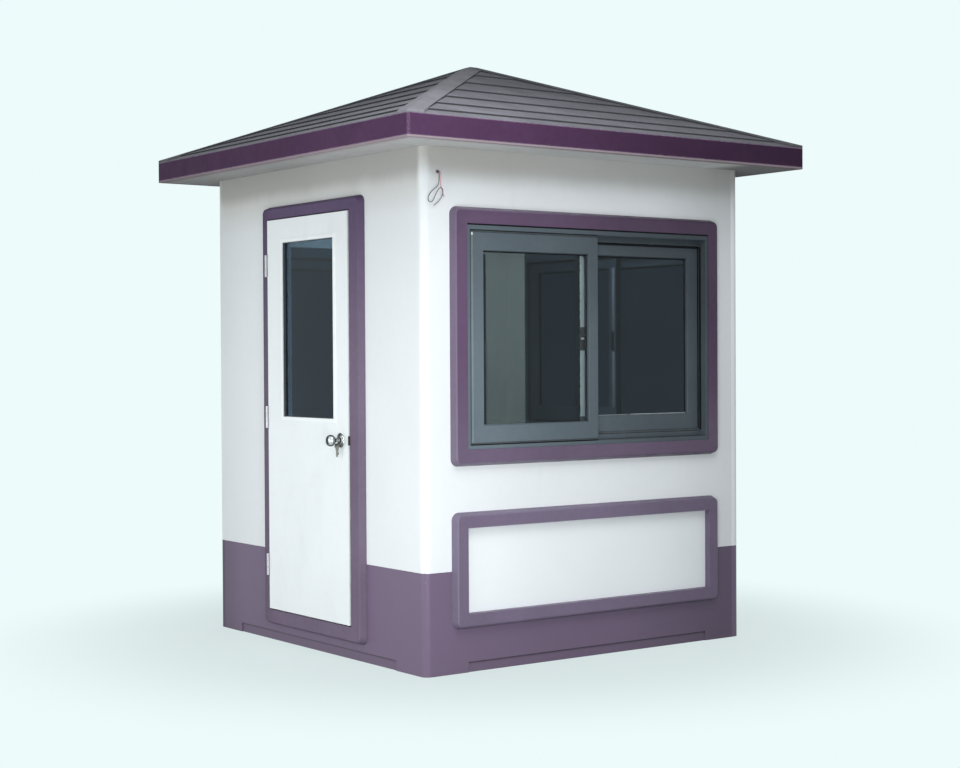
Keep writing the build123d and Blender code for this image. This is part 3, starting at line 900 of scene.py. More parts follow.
@dataclass(frozen=True)
class MouldingPaint(Coat):
    """Purple paint of the raised mouldings, with painted light on its outer slopes and low down, and painted shade high
    up and to the right.

    Attributes:
        slope_light_colour: The painted light's colour, on its slopes and low down.
        deep: The painted shade's colour on its slopes towards the right end.
        slope_light_share: How much of the painted light the slopes show.
        foot_light_share: How much of the painted light it shows under a window.
        high_shade: How dark the painted shade makes it over a window and beside its top, towards the right.
    """

    slope_light_colour: Colour = (0.30, 0.29, 0.36)
    deep: Colour = (0.045, 0.034, 0.055)
    slope_light_share: float = 0.26
    foot_light_share: float = 0.15
    high_shade: float = 0.72

    def paint(self, recipe: Recipe) -> Socket:
        """Gives the paint, with painted light on the slopes and low down, and painted shade high up to the right.

        Args:
            recipe: The node tree.

        Returns:
            The colour.
        """
        across, along, up = (recipe.sum("ABSOLUTE", recipe.facing(axis)) for axis in "XYZ")
        slope = recipe.span(recipe.sum("MAXIMUM", recipe.sum("MAXIMUM", across, along), up), 0.995, 0.93)
        # Painted light on the slopes at the left, painted shade on them towards the right.
        slope_light_and_shade = recipe.mix(recipe.span("wall", -0.55, 0.45), self.slope_light_colour, self.deep)
        colour = recipe.mix(recipe.product(slope, self.slope_light_share), self.colour, slope_light_and_shade)
        # Painted light low down, under a window.
        colour = recipe.mix(recipe.span("Z", 1.35, 0.93, 0.0, self.foot_light_share), colour, self.slope_light_colour)
        # Painted shade high up to the right.
        high = recipe.span("Z", 1.0, 1.7, 1.0, self.high_shade)
        return recipe.shade(colour, recipe.span("wall", -0.45, 0.15, 1.0, high))


@dataclass(frozen=True)
class DoorMouldingPaint(Coat):
    """Purple paint of the moulding round the door, with painted light towards the ground and painted shade at its top
    and its hinge side.

    Attributes:
        foot_light_colour: Its colour at the foot, with painted light.
    """

    foot_light_colour: Colour = (0.170, 0.132, 0.190)

    def paint(self, recipe: Recipe) -> Socket:
        """Gives the paint, paler towards the foot and darker towards the top: painted light and shade."""
        return recipe.mix(recipe.span("Z", 1.25, 2.1), self.foot_light_colour, self.colour)


@dataclass(frozen=True)
class ChromeWithPaintedReflection(Coat):
    """Old chrome, bright where it faces the eye, with a painted dark reflection towards its outline.

    Attributes:
        dark: The colour of the painted reflection towards the outline.
    """

    dark: Colour = (0.028, 0.032, 0.032)

    def paint(self, recipe: Recipe) -> Socket:
        """Gives bright metal in the middle and a painted dark reflection towards the outline."""
        return recipe.mix(recipe.span(recipe.grazing(0.42), 0.14, 0.44), self.colour, self.dark)


@dataclass(frozen=True)
class PaleRubber(Coat):
    """Pale rubber with a painted shadow for the hole in its middle.

    Attributes:
        middle: The hole's middle along X and Z.
        hole: The hole's radius.
        rim: How wide the hole's soft edge is.
        shadow: The colour of the painted shadow in the hole.
    """

    middle: tuple[float, float] = (0.0, 0.0)
    hole: float = 0.004
    rim: float = 0.0012
    shadow: Colour = (0.03, 0.03, 0.03)

    def paint(self, recipe: Recipe) -> Socket:
        """Gives the rubber, with the painted shadow round the wires.

        Args:
            recipe: The node tree.

        Returns:
            The colour.
        """
        offsets = [recipe.sum("SUBTRACT", axis, at) for axis, at in zip("XZ", self.middle)]
        away = recipe.sum("SQRT", recipe.sum("ADD", *(recipe.product(offset, offset) for offset in offsets)))
        return recipe.mix(recipe.span(away, self.hole, self.hole + self.rim), self.shadow, self.colour)


@dataclass(frozen=True)
class Extrusion(Coat):
    """Powder-coated aluminium with faint die lines along each bar, painted shade to the right and high up, and painted
    light on faces that look down.

    Attributes:
        underside_painted_light: How much paler the painted light makes faces that look down.
        line_depth: The depth of the die lines.
    """

    underside_painted_light: float = 2.1
    line_depth: float = 0.00004
    # Painted shade: darker to the right and high up.
    painted_shades: tuple[ShadeRamp, ...] = (("wall", -0.72, 0.62, 1.0, 0.52), ("Z", 1.25, 1.86, 1.0, 0.72))

    def paint(self, recipe: Recipe) -> Socket:
        """Gives the coat, with painted light on faces that look down."""
        return recipe.shade(self.colour, recipe.span(recipe.facing("Z"), -0.5, -0.9, 1.0, self.underside_painted_light))

    def relief(self, recipe: Recipe, normal: Socket) -> Socket:
        """Adds die lines and the coat's fine pebbling to a normal with rounded edges."""
        lines = recipe.sum("ADD", recipe.noise(260.0, 2, (1, 1, 0.015)), recipe.noise(260.0, 2, (0.015, 0.015, 1)))
        return recipe.bump(recipe.noise(self.grain_scale, 2), self.grain, recipe.bump(lines, self.line_depth, normal))


@dataclass(frozen=True)
class BareMetal(Coat):
    """Polished or brushed metal with fine scratches.

    Attributes:
        scratch: The scratches' depth.
    """

    scratch: float = 0.00002

    def relief(self, recipe: Recipe, normal: Socket) -> Socket:
        """Adds scratches in two directions to a normal with rounded edges."""
        cross = recipe.noise(700.0, 2, (0.04, 0.04, 1), (3, 3, 3))
        return recipe.bump(recipe.sum("ADD", recipe.noise(900.0, 2, (1, 1, 0.03)), cross), self.scratch, normal)


@dataclass(frozen=True)
class SpeckledFloor(Coat):
    """Sheet flooring with speckles.

    Attributes:
        pale: The colour of its pale flecks.
        dark: The colour of its dark flecks.
    """

    pale: Colour = (0.55, 0.54, 0.52)
    dark: Colour = (0.16, 0.15, 0.15)

    def paint(self, recipe: Recipe) -> Socket:
        """Gives the sheet's colour with pale and dark flecks.

        Args:
            recipe: The node tree.

        Returns:
            The colour.
        """
        pale = recipe.product(recipe.span(recipe.cells(160.0), 0.16, 0.10), 0.5)
        dark = recipe.product(recipe.span(recipe.noise(210.0, 3, shift=(4, 4, 4)), 0.62, 0.66), 0.6)
        return recipe.mix(dark, recipe.mix(pale, self.colour, self.pale), self.dark)


@dataclass(frozen=True)
class TintedGlass:
    """Clear glass under a dark film with faint smears and dust. The film can stop short of the meeting stile.

    Attributes:
        name: The finish's name.
        trimmed: Whether the film stops short.
        colour: The share of light that passes the film.
        clear: The share that passes the bare glass.
        dust: The colour of the dust on it.
        film_edge: Where the film stops along the wall.
        film_start: Where it starts again, under the meeting stile.
        bend: The glass's index of refraction.
    """

    name: str
    trimmed: bool = False
    colour: Colour = (0.095, 0.122, 0.150)
    clear: Colour = (0.66, 0.71, 0.73)
    dust: Colour = (0.30, 0.31, 0.31)
    film_edge: float = -0.073
    film_start: float = -0.020
    bend: float = 1.275

    def bare(self, recipe: Recipe) -> Amount:
        """Gives where the pane has no film.

        Args:
            recipe: The node tree.

        Returns:
            1 where the glass is bare and 0 under the film.
        """
        if not self.trimmed:
            return 0.0
        along = recipe.sum("ADD", "wall", recipe.drift(-0.003, 0.003, 60.0, 4, (0.6, 0.6, 1.0)))
        past = recipe.sum("GREATER_THAN", along, self.film_edge)
        return recipe.product(past, recipe.sum("LESS_THAN", along, self.film_start))

    def make(self) -> bpy.types.Material:
        """Builds the material.

        Returns:
            The material.
        """
        recipe = Recipe(self.name)
        dust = recipe.span(recipe.noise(26.0, 6, bend=0.8), 0.50, 0.80, 0.0, 0.05)
        film = recipe.mix(dust, recipe.shade(self.colour, recipe.drift(0.92, 1.08, 1.6, 3)), self.dust)
        smears = recipe.span(recipe.noise(11.0, 5, (1, 1, 0.35), bend=1.5), 0.45, 0.75, 0.015, 0.07)
        recipe.set(Base_Color=recipe.mix(self.bare(recipe), film, self.clear), Roughness=smears,
                   Transmission_Weight=1.0, IOR=self.bend, Normal=recipe.bump(recipe.noise(1.8, 1), 0.0004))
        return recipe.material


@dataclass(frozen=True)
class WireSheath:
    """The plastic skin of a thin wire, with colour that wanders along it.

    Attributes:
        name: The finish's name.
        colour: The skin's colour.
        faded: The colour where it has faded.
    """

    name: str
    colour: Colour
    faded: Colour

    def make(self) -> bpy.types.Material:
        """Builds the material.

        Returns:
            The material.
        """
        recipe = Recipe(self.name)
        faded = recipe.span(recipe.noise(45.0, 4), 0.40, 0.70)
        recipe.set(Base_Color=recipe.mix(faded, self.colour, self.faded), Roughness=recipe.drift(0.38, 0.58, 90.0, 3),
                   Normal=recipe.bump(recipe.noise(900.0, 2), 0.00006))
        return recipe.material


class Finishes:
    """The booth's finishes, each made once."""

    makers: tuple[Union[Coat, TintedGlass, WireSheath], ...] = (
        GelCoatWall("wall_gel_coat", (0.865, 0.895, 0.91), drift=0.012, roughness=0.38, unevenness=0.02,
                    gloss=0.22, grain=0.00005, grain_scale=260.0, ripple=0.0006, edge_radius=0.002,
                    edge_colour=(0.93, 0.94, 0.94), edge_wear=0.2, soil_share=0.16),
        GelCoatWall("sheet_gel_coat", (0.93, 0.97, 0.985), drift=0.010, roughness=0.36, unevenness=0.02,
                    gloss=0.30, grain=0.00004, grain_scale=260.0, ripple=0.0004, edge_wear=0.1, soil_share=0.08,
                    band_top=-1.0),
        # Painted shade: the mouldings darker to the right, the panel's also at its left end.
        MouldingPaint("moulding_purple", (0.118, 0.072, 0.132), drift=0.06, edge_radius=0.0015,
                      edge_colour=(0.24, 0.22, 0.28), edge_wear=0.45, soil=(0.26, 0.24, 0.26), soil_share=0.08,
                      gloss=0.16, painted_shades=(("wall", -0.1, 0.76, 1.04, 0.80),)),
        MouldingPaint("panel_moulding_purple", (0.186, 0.146, 0.222), drift=0.05, edge_radius=0.0015,
                      edge_colour=(0.30, 0.28, 0.33), edge_wear=0.45, soil=(0.30, 0.28, 0.30), soil_share=0.10,
                      gloss=0.18, slope_light_share=0.18, foot_light_share=0.0, high_shade=1.0,
                      painted_shades=(("wall", -0.1, 0.76, 1.04, 0.82), ("wall", -0.72, -0.45, 0.86, 1.0))),
        # Painted shade: the door's moulding darker at its hinge side.
        DoorMouldingPaint("door_moulding_purple", (0.124, 0.088, 0.162), drift=0.06, roughness=0.52,
                          edge_radius=0.003, edge_colour=(0.24, 0.22, 0.28), edge_wear=0.45,
                          soil=(0.26, 0.24, 0.26), soil_share=0.10, gloss=0.04,
                          painted_shades=(("Y", 0.30, 0.43, 1.0, 0.70),)),
        # Painted shade: the fascia darker to the right and towards the back. Its worn edges, at full strength, are
        # partly real wear and partly a painted highlight down its corners.
        Coat("fascia_purple", (0.098, 0.046, 0.104), drift=0.08, roughness=0.42, edge_radius=0.007,
             edge_colour=(0.36, 0.25, 0.38), edge_wear=1.0, soil=(0.16, 0.12, 0.16), soil_share=0.14, gloss=0.03,
             painted_shades=(("X", -ROOF_HALF, ROOF_HALF, 1.0, 0.46), ("Y", -ROOF_HALF, 0.6, 1.0, 0.72))),
        RoofShell("roof_shell", (0.244, 0.238, 0.270), drift=0.06, roughness=0.78, grain=0.00035,
                  grain_scale=700.0, ripple=0.0008, edge_radius=0.0015, edge_colour=(0.34, 0.33, 0.37),
                  edge_wear=0.45, soil=(0.11, 0.115, 0.105), soil_share=0.30, gloss=0.02),
        RoofShell("hip_cap_shell", (0.274, 0.268, 0.300), drift=0.06, roughness=0.66, grain=0.00012,
                  edge_radius=0.002, edge_colour=(0.36, 0.35, 0.39), edge_wear=0.2, soil=(0.13, 0.13, 0.12),
                  soil_share=0.25, gloss=0.03, first_lap=2.335, hip_shade=0.6),
        Extrusion("slate_powder_coat", (0.147, 0.184, 0.212), drift=0.05, roughness=0.42, gloss=0.12,
                  grain=0.00003, grain_scale=1500.0, edge_colour=(0.34, 0.38, 0.40), edge_wear=0.35,
                  soil=(0.24, 0.23, 0.21), soil_share=0.16),
        # A paler copy of the slate coat: painted light for the lit edge of a sash.
        Extrusion("lit_edge_powder_coat", (0.205, 0.250, 0.275), drift=0.08, roughness=0.45, gloss=0.25,
                  grain=0.00003, grain_scale=1500.0, edge_colour=(0.50, 0.54, 0.56), edge_wear=0.6,
                  soil=(0.24, 0.23, 0.21), soil_share=0.16),
        BareMetal("dull_aluminium", (0.40, 0.43, 0.45), drift=0.10, roughness=0.50, metallic=0.2,
                  soil_share=0.30, edge_wear=0.4),
        BareMetal("bare_aluminium", (0.80, 0.82, 0.83), drift=0.05, roughness=0.42, metallic=0.3,
                  soil_share=0.10),
        BareMetal("brushed_steel", (0.44, 0.42, 0.39), drift=0.08, roughness=0.36, metallic=1.0,
                  soil=(0.12, 0.09, 0.06), soil_share=0.35),
        BareMetal("key_nickel", (0.12, 0.12, 0.108), drift=0.10, roughness=0.32, metallic=0.8,
                  soil=(0.08, 0.07, 0.05), soil_share=0.40, edge_colour=(0.46, 0.43, 0.36), edge_wear=0.4),
        BareMetal("hinge_satin_steel", (0.47, 0.455, 0.49), drift=0.06, roughness=0.42, metallic=0.55,
                  soil=(0.20, 0.16, 0.12), soil_share=0.25),
        ChromeWithPaintedReflection("chrome_painted_reflection", (0.66, 0.68, 0.68), roughness=0.13, unevenness=0.05, metallic=1.0,
                     edge_radius=0.0005, edge_wear=0.05, soil=(0.03, 0.03, 0.03), soil_share=0.4,
                     grain=0.00001, ripple=0.0),
        Coat("strike_steel", (0.055, 0.05, 0.05), drift=0.10, roughness=0.45, metallic=0.6, edge_radius=0.0006,
             edge_colour=(0.34, 0.32, 0.30), edge_wear=0.5, soil=(0.03, 0.025, 0.02), soil_share=0.4),
        Coat("latch_plastic", (0.035, 0.037, 0.04), drift=0.10, roughness=0.52, edge_radius=0.0006,
             edge_colour=(0.16, 0.16, 0.17), edge_wear=0.4),
        Coat("door_enamel", (0.875, 0.915, 0.925), drift=0.012, roughness=0.36, grain=0.00005,
             grain_scale=320.0, edge_radius=0.0015, edge_colour=(0.62, 0.60, 0.55), edge_wear=0.22, gloss=0.3),
        Coat("bead_enamel", (0.93, 0.96, 0.965), drift=0.010, roughness=0.34, grain=0.00004, grain_scale=320.0,
             edge_radius=0.001, edge_colour=(0.70, 0.69, 0.64), edge_wear=0.2, soil_share=0.10),
        Coat("lining_enamel", (0.56, 0.55, 0.51), drift=0.05, roughness=0.42, edge_colour=(0.34, 0.32, 0.29),
             edge_wear=0.45, soil_share=0.25),
        SpeckledFloor("sheet_flooring", (0.36, 0.355, 0.345), drift=0.07, roughness=0.52,
                      soil=(0.14, 0.12, 0.10), soil_share=0.35),
        Coat("floor_panel_shell", (0.20, 0.17, 0.21), drift=0.10, roughness=0.7, grain=0.0004,
             grain_scale=220.0, edge_wear=0.4, edge_colour=(0.34, 0.31, 0.34), soil_share=0.5),
        SoffitShell("soffit_shell", (0.56, 0.56, 0.55), drift=0.05, roughness=0.8, soil_share=0.15, gloss=0.0),
        Coat("seal_rubber", (0.012, 0.013, 0.015), drift=0.12, roughness=0.62, grain=0.00012,
             grain_scale=900.0, edge_radius=0.0004, edge_colour=(0.09, 0.09, 0.09), soil=(0.12, 0.11, 0.10),
             soil_share=0.15, gloss=0.05),
        Coat("pile_seal", (0.085, 0.098, 0.106), drift=0.12, roughness=0.8, grain=0.0003, grain_scale=1400.0,
             edge_radius=0.0004, edge_colour=(0.16, 0.17, 0.18), soil=(0.14, 0.13, 0.12), soil_share=0.3,
             gloss=0.1),
        PaleRubber("grommet_rubber", (0.42, 0.42, 0.41), drift=0.06, roughness=0.6, soil_share=0.2,
                   middle=(-0.828, 2.096)),
        WireSheath("dark_sheath", (0.016, 0.012, 0.016), (0.045, 0.036, 0.042)),
        WireSheath("red_sheath", (0.60, 0.16, 0.26), (0.72, 0.34, 0.42)),
        TintedGlass("tinted_glass"),
        TintedGlass("door_tinted_glass", colour=(0.045, 0.080, 0.125), bend=1.25),
        TintedGlass("trimmed_tinted_glass", trimmed=True),
    )

    def __init__(self) -> None:
        """Builds every material."""
        self._made = {maker.name: maker.make() for maker in self.makers}

    def __getitem__(self, name: str) -> bpy.types.Material:
        """Gives a finish by its name."""
        return self._made[name]


@dataclass(frozen=True)
class Viewpoint:
    """The camera, at a person's eye height off the booth's near corner.

    Attributes:
        place: Where it stands.
        yaw: How far it is turned to the right of +Y, in degrees.
        pitch: How far it looks up, in degrees.
        roll: How far it is tilted, in degrees.
        lens: Its focal length in millimetres.
        reach: How far it sees.
    """

    place: Point = (-4.9859, -6.8898, 1.3264)
    yaw: float = 36.1268
    pitch: float = -0.8754
    roll: float = -0.3076
    lens: float = 65.916
    reach: float = 200.0

    def build(self) -> bpy.types.Object:
        """Makes the camera and gives it to the scene.

        Returns:
            The camera.
        """
        yaw, pitch, roll = (math.radians(a) for a in (self.yaw, self.pitch, self.roll))
        ahead = Vector((math.sin(yaw) * math.cos(pitch), math.cos(yaw) * math.cos(pitch), math.sin(pitch)))
        level = Vector((math.cos(yaw), -math.sin(yaw), 0.0))
        above = level.cross(ahead)
        right = level * math.cos(roll) + above * math.sin(roll)
        up = above * math.cos(roll) - level * math.sin(roll)
        data = bpy.data.cameras.new("viewpoint")
        data.lens = self.lens
        data.clip_end = self.reach
        camera = in_scene("viewpoint", data)
        turn = Matrix((right, up, -ahead)).transposed().to_4x4()
        camera.matrix_world = Matrix.Translation(self.place) @ turn
        bpy.context.scene.camera = camera
        return camera


@dataclass(frozen=True)
class Wire:
    """A thin wire that hangs from the hole high in the front wall.

    Attributes:
        node: The CAD node that it stands for.
        finish: The name of its finish.
        route: The points of its line: along the wall, out from the wall, and up, in metres.
        length: Its real length.
        diameter: Its diameter.
    """

    node: str
    finish: str
    route: tuple[Point, ...]
    length: float
    diameter: float = 0.003

    def build(self, finishes: Finishes) -> bpy.types.Object:
        """Makes the wire as one smooth curve.

        Args:
            finishes: The booth's finishes.

        Returns:
            The curve.
        """
        name = f"{self.node}_lead"
        data = bpy.data.curves.new(name, "CURVE")
        data.dimensions = "3D"
        data.bevel_depth = self.diameter / 2
        data.bevel_resolution = 3
        data.resolution_u = 6
        data.use_fill_caps = True
        spline = data.splines.new("NURBS")
        points = [on_wall(*point) for point in self.route]
        spline.points.add(len(points) - 1)
        for slot, point in zip(spline.points, points):
            slot.co = (*point, 1.0)
        spline.order_u = 3
        spline.use_endpoint_u = True
        data.materials.append(finishes[self.finish])
        piece = in_scene(name, data)
        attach(piece, Body.BOOTH.value)
        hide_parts(self.node)
        log.info("built %s", name)
        return piece


@dataclass(frozen=True)
class Wires:
    """The small bundle of wires.

    Attributes:
        dark: The lead, which makes one open loop.
        red: The short core.
    """

    dark: Wire = Wire(
        "wire_dark", "dark_sheath",
        ((-0.831, 0.002, 2.096), (-0.831, 0.017, 2.096), (-0.832, 0.022, 2.080), (-0.830, 0.015, 2.036),
         (-0.860, 0.013, 2.019), (-0.884, 0.012, 1.988), (-0.880, 0.012, 1.967), (-0.861, 0.014, 1.967),
         (-0.848, 0.018, 2.000), (-0.831, 0.021, 2.030), (-0.811, 0.020, 2.024), (-0.812, 0.015, 1.996),
         (-0.828, 0.012, 1.972), (-0.851, 0.010, 1.955)),
        0.350)
    red: Wire = Wire(
        "wire_red", "red_sheath",
        ((-0.825, 0.002, 2.096), (-0.825, 0.017, 2.096), (-0.823, 0.022, 2.080), (-0.820, 0.013, 2.036),
         (-0.807, 0.011, 2.014), (-0.800, 0.010, 1.990)),
        0.125)

    def build(self, finishes: Finishes) -> list[bpy.types.Object]:
        """Makes both wires."""
        return [wire.build(finishes) for wire in (self.dark, self.red)]


@dataclass(frozen=True)
class Lamp:
    """A square soft lamp.

    Attributes:
        name: Its name.
        place: Where it stands.
        target: What it points at.
        size: The length of its side.
        power: Its power in watts.
        hidden: Whether it stays out of reflections and cannot be seen through glass.
        colour: The colour of its light.
    """

    name: str
    place: Point
    target: Point
    size: float
    power: float
    hidden: bool = False
    colour: Colour = (0.965, 0.985, 1.0)

    def build(self) -> bpy.types.Object:
        """Makes the lamp.

        Returns:
            The lamp.
        """
        data = bpy.data.lights.new(self.name, "AREA")
        data.shape = "SQUARE"
        data.size = self.size
        data.energy = self.power
        data.color = self.colour
        lamp = in_scene(self.name, data)
        aim = (Vector(self.target) - Vector(self.place)).to_track_quat("-Z", "Y")
        lamp.matrix_world = Matrix.Translation(self.place) @ aim.to_matrix().to_4x4()
        lamp.visible_camera = False
        lamp.visible_glossy = lamp.visible_transmission = not self.hidden
        return lamp


@dataclass(frozen=True)
class Studio:
    """The pale room round the booth: lamps, background and floor.

    Attributes:
        pale: The background's colour where it is seen.
        sky: The colour of the soft light that comes from all round.
        ambient: That light's strength.
        floor_size: The length of the floor's side.
        floor_colour: The colour that the floor throws back at the booth.
        shadow_near: How far from the booth's middle its shadow on the floor is deepest.
        shadow_far: Where its shadow has gone.
        shadow_share: How much of the background's colour the floor shows in the shadow.
        lamps: The lamps.
    """

    pale: Colour = (0.847, 0.965, 0.965)
    sky: Colour = (0.955, 0.985, 1.0)
    ambient: float = 0.38
    floor_size: float = 60.0
    floor_colour: Colour = (0.35, 0.37, 0.37)
    shadow_near: float = 1.2
    shadow_far: float = 2.6
    shadow_share: float = 0.72
    lamps: tuple[Lamp, ...] = (
        Lamp("front_lamp", (-1.2, -3.2, 4.2), (0.0, -0.9, 1.5), 2.4, 72.0),
        Lamp("corner_lamp", (-1.9, -3.0, 0.7), (-0.6, -0.9, 0.8), 1.2, 33.0),
        Lamp("near_door_lamp", (-3.0, -1.7, 0.8), (-0.9, -0.4, 0.8), 1.3, 12.0),
        Lamp("far_door_lamp", (-3.6, 0.5, 1.0), (-0.9, 0.3, 0.75), 1.6, 33.0),
        Lamp("back_lamp", (3.4, 3.6, 3.0), (0.6, 0.6, 1.2), 2.6, 95.0, True),
        Lamp("room_lamp", (0.0, 0.0, 2.12), (0.0, 0.0, 0.0), 1.2, 38.0, True),
    )

    def build(self) -> None:
        """Makes the lamps, the background and the floor."""
        for lamp in self.lamps:
            lamp.build()
        self.background()
        bpy.context.scene.view_settings.view_transform = "Standard"
        self.floor()

    def background(self) -> None:
        """Makes a world that is plain and pale where it is seen, and lights softly."""
        world = bpy.data.worlds.new("pale_room")
        bpy.context.scene.world = world
        nodes = Nodes(world)
        light = nodes.add("ShaderNodeBackground", {"Color": self.sky, "Strength": self.ambient})
        seen = nodes.add("ShaderNodeBackground", {"Color": self.pale})
        mix = nodes.add("ShaderNodeMixShader", {0: nodes.looking(), 1: light.outputs[0], 2: seen.outputs[0]})
        nodes.add("ShaderNodeOutputWorld", {"Surface": mix.outputs[0]})

    def floor(self) -> bpy.types.Object:
        """Makes the floor, which shows the background's colour and keeps the booth's shadow near it.

        Returns:
            The floor.
        """
        work = bmesh.new()
        bmesh.ops.create_grid(work, x_segments=1, y_segments=1, size=self.floor_size / 2)
        mesh = bpy.data.meshes.new("studio_floor")
        work.to_mesh(mesh)
        work.free()
        recipe = Recipe("pale_floor")
        recipe.set(Base_Color=recipe.shade(self.floor_colour, recipe.drift(0.97, 1.03, 0.6, 3)), Roughness=0.9,
                   Specular_IOR_Level=0.0)
        distance = recipe.add("ShaderNodeVectorMath", {0: recipe.place}, operation="LENGTH").outputs["Value"]
        open_share = recipe.span(distance, self.shadow_near, self.shadow_far, self.shadow_share, 1.0)
        glow = recipe.add("ShaderNodeEmission", {"Color": self.pale})
        inputs = {0: recipe.product(recipe.looking(), open_share), 1: recipe.shader.outputs[0], 2: glow.outputs[0]}
        recipe.feed(recipe.output.inputs["Surface"], recipe.add("ShaderNodeMixShader", inputs).outputs[0])
        mesh.materials.append(recipe.material)
        floor = in_scene("studio_floor", mesh)
        return floor


@dataclass
class Assembly:
    """A group of small pieces on one wall.

    Attributes:
        finishes: The booth's finishes.
        name: The start of its pieces' names, as in the CAD model.
        side: Its wall.
    """

    finishes: Finishes
    name: str
    side: Side

    def box(self, part: str) -> Box:
        """Gives the box of one of its CAD nodes as seen from its wall."""
        return wall_box(f"{self.name}_{part}", self.side)

    def add(self, blank: Blank, part: str, finish: str, slot: str, body: Body = Body.BOOTH,
            replaced: Sequence[str] = (), crease: float = 35.0) -> None:
        """Makes a blank one of its pieces.

        Args:
            blank: The blank.
            part: The rest of the piece's name.
            finish: The name of its finish.
            slot: A material slot's name, passed on to Blank.finish().
            body: The body that it moves with.
            replaced: The CAD nodes that it stands for.
            crease: The angle in degrees above which an edge stays sharp.
        """
        blank.finish(f"{self.name}_{part}", self.finishes[finish], slot, self.side, body, replaced, crease)


@dataclass
class SlidingWindow(Assembly):
    """The dark seal strips that paint shadow lines, brushes, glazing gaskets, interlock and catch of one sliding
    window.

    Stiles, rails, bars and panes are those of the CAD model. What else there is:

    Attributes:
        tongue: How far a sash's tongue reaches past its body.
        pane_back: How far a pane's face lies behind the face of its sash.
        rim: How far a rim stands out from the glass.
        glazing_edge: The width of the glazing gasket that shows.
        top_gasket_and_shadow: The gasket's height at the head of a pane, made tall so that it also paints the shadow
            under the rail.
        gap: The clearance round a seal.
        skin: The clearance between two pieces that lie on each other.
        strip: The thickness of a strip on a sash.
        soft: How wide the edges of a brush are rounded.
        fine: How wide the edges of a seal or strip are rounded.
        frame: The frame's box.
        outer: The outer sash's box without its tongues.
        inner: The inner sash's box without its tongues.
        latch: The catch's box.
    """

    stile: float = 0.066
    meeting_stile: float = 0.053
    bottom_rail: float = 0.072
    outer_top_rail: float = 0.074
    inner_top_rail: float = 0.046
    tongue: float = 0.008
    frame_bar: float = 0.016
    head_bar: float = 0.024
    pane_back: float = 0.0115
    pane_depth: float = 0.0050
    rim: float = 0.0022
    glazing_edge: float = 0.0035
    top_gasket_and_shadow: float = 0.009
    gap: float = 0.0004
    skin: float = 0.0001
    strip: float = 0.0018
    soft: float = 0.0008
    fine: float = 0.0006
    ribs: int = 5
    rib_pitch: float = 0.006
    frame: Box = field(init=False)
    outer: Box = field(init=False)
    inner: Box = field(init=False)
    latch: Box = field(init=False)

    def __post_init__(self) -> None:
        """Finds the frame, both sashes and the catch."""
        self.frame, self.latch = self.box("frame"), self.box("latch")
        self.outer = self.sash("outer_sash", self.tongue, 0.0)
        self.inner = self.sash("inner_sash", 0.0, self.tongue)

    def sash(self, part: str, left: float, right: float) -> Box:
        """Gives a sash's box without its tongues.

        Args:
            part: The sash.
            left: How far its left tongue reaches.
            right: How far its right tongue reaches.

        Returns:
            The lowest and the highest corner.
        """
        low, high = self.box(part)
        return (low + Vector((left, 0, self.tongue)), high - Vector((right, 0, self.tongue)))

    def build(self) -> None:
        """Builds the window's small pieces."""
        self.shadow_seals()
        self.gaskets()
        self.interlock()
        self.edge_strip()
        self.catch()

    def pane(self, sash: Box, inner: bool) -> tuple[float, float, float, float, float]:
        """Gives where a pane shows.

        Args:
            sash: The sash's box.
            inner: Whether it is the inner sash.

        Returns:
            Its left, right, foot and head, and how far out its face lies.
        """
        low, high = sash
        left, right = (self.meeting_stile, self.stile) if inner else (self.stile, self.meeting_stile)
        top = self.inner_top_rail if inner else self.outer_top_rail
        return (low.x + left, high.x - right, low.z + self.bottom_rail, high.z - top, high.y - self.pane_back)

    def shadow_seals(self) -> None:
        """Builds the dark seal strips under the moulding, at the sashes' heads and feet, at the sill's step and at the
        jamb, which are partly real seal and partly painted shadow, and the brushes round both sashes.
        """
        gap, soft, fine = self.gap, self.soft, self.fine
        low, high = self.frame
        left, right = low.x + self.frame_bar + gap, high.x - self.frame_bar
        foot, head = low.z + self.frame_bar, high.z - self.head_bar
        dark, pile = Blank(), Blank()
        # Painted shadow: a dark strip under the moulding's head, partly a real seal.
        dark.block((low.x + 0.002, high.y - 0.002, high.z - 0.0065),
                   (high.x - 0.002, high.y + 0.0012, high.z - 0.0003))
        low, high = self.outer
        edge, back, front, sill = high.x, high.y - 0.0080, high.y - 0.0015, foot + 0.0045
        pile.block((left, back, sill), (low.x - gap, front, head - gap), soft)
        pile.block((left, back, high.z + gap), (edge, front, head - 0.0030), soft)
        pile.block((left, back, sill), (edge, front, low.z - gap), soft)
        # Dark strips along the outer sash's head and foot: painted shadow in the gaps.
        dark.block((left, back, head - 0.0028), (edge, front - 0.002, head - gap), fine)
        dark.block((left, back, foot + gap), (edge, front - 0.002, foot + 0.0042), fine)
        low, high = self.inner
        step, back, front, jamb = high.y + 0.003, high.y - 0.0080, high.y - 0.0030, right - 0.0022
        # Dark strips at the sill's step, at the jamb and over the inner sash's head: painted shadow in the gaps.
        dark.block((edge + 0.0085, step, foot + gap), (right - gap, step + 0.012, foot + 0.0040), soft)
        dark.block((high.x + gap, back, low.z - 0.009), (jamb, front, high.z + 0.010), soft)
        dark.block((right - 0.0034, back + 0.010, low.z - 0.006), (right - gap, step + 0.010, high.z + 0.008), soft)
        dark.block((edge + gap, back, high.z + gap), (jamb, front, high.z + 0.0105), soft)
        pile.block((edge + gap, back, low.z - 0.0095), (jamb, front + 0.001, low.z - gap), soft)
        self.add(dark, "shadow_seals", "seal_rubber", "latch_plastic")
        self.add(pile, "brushes", "pile_seal", "latch_plastic")

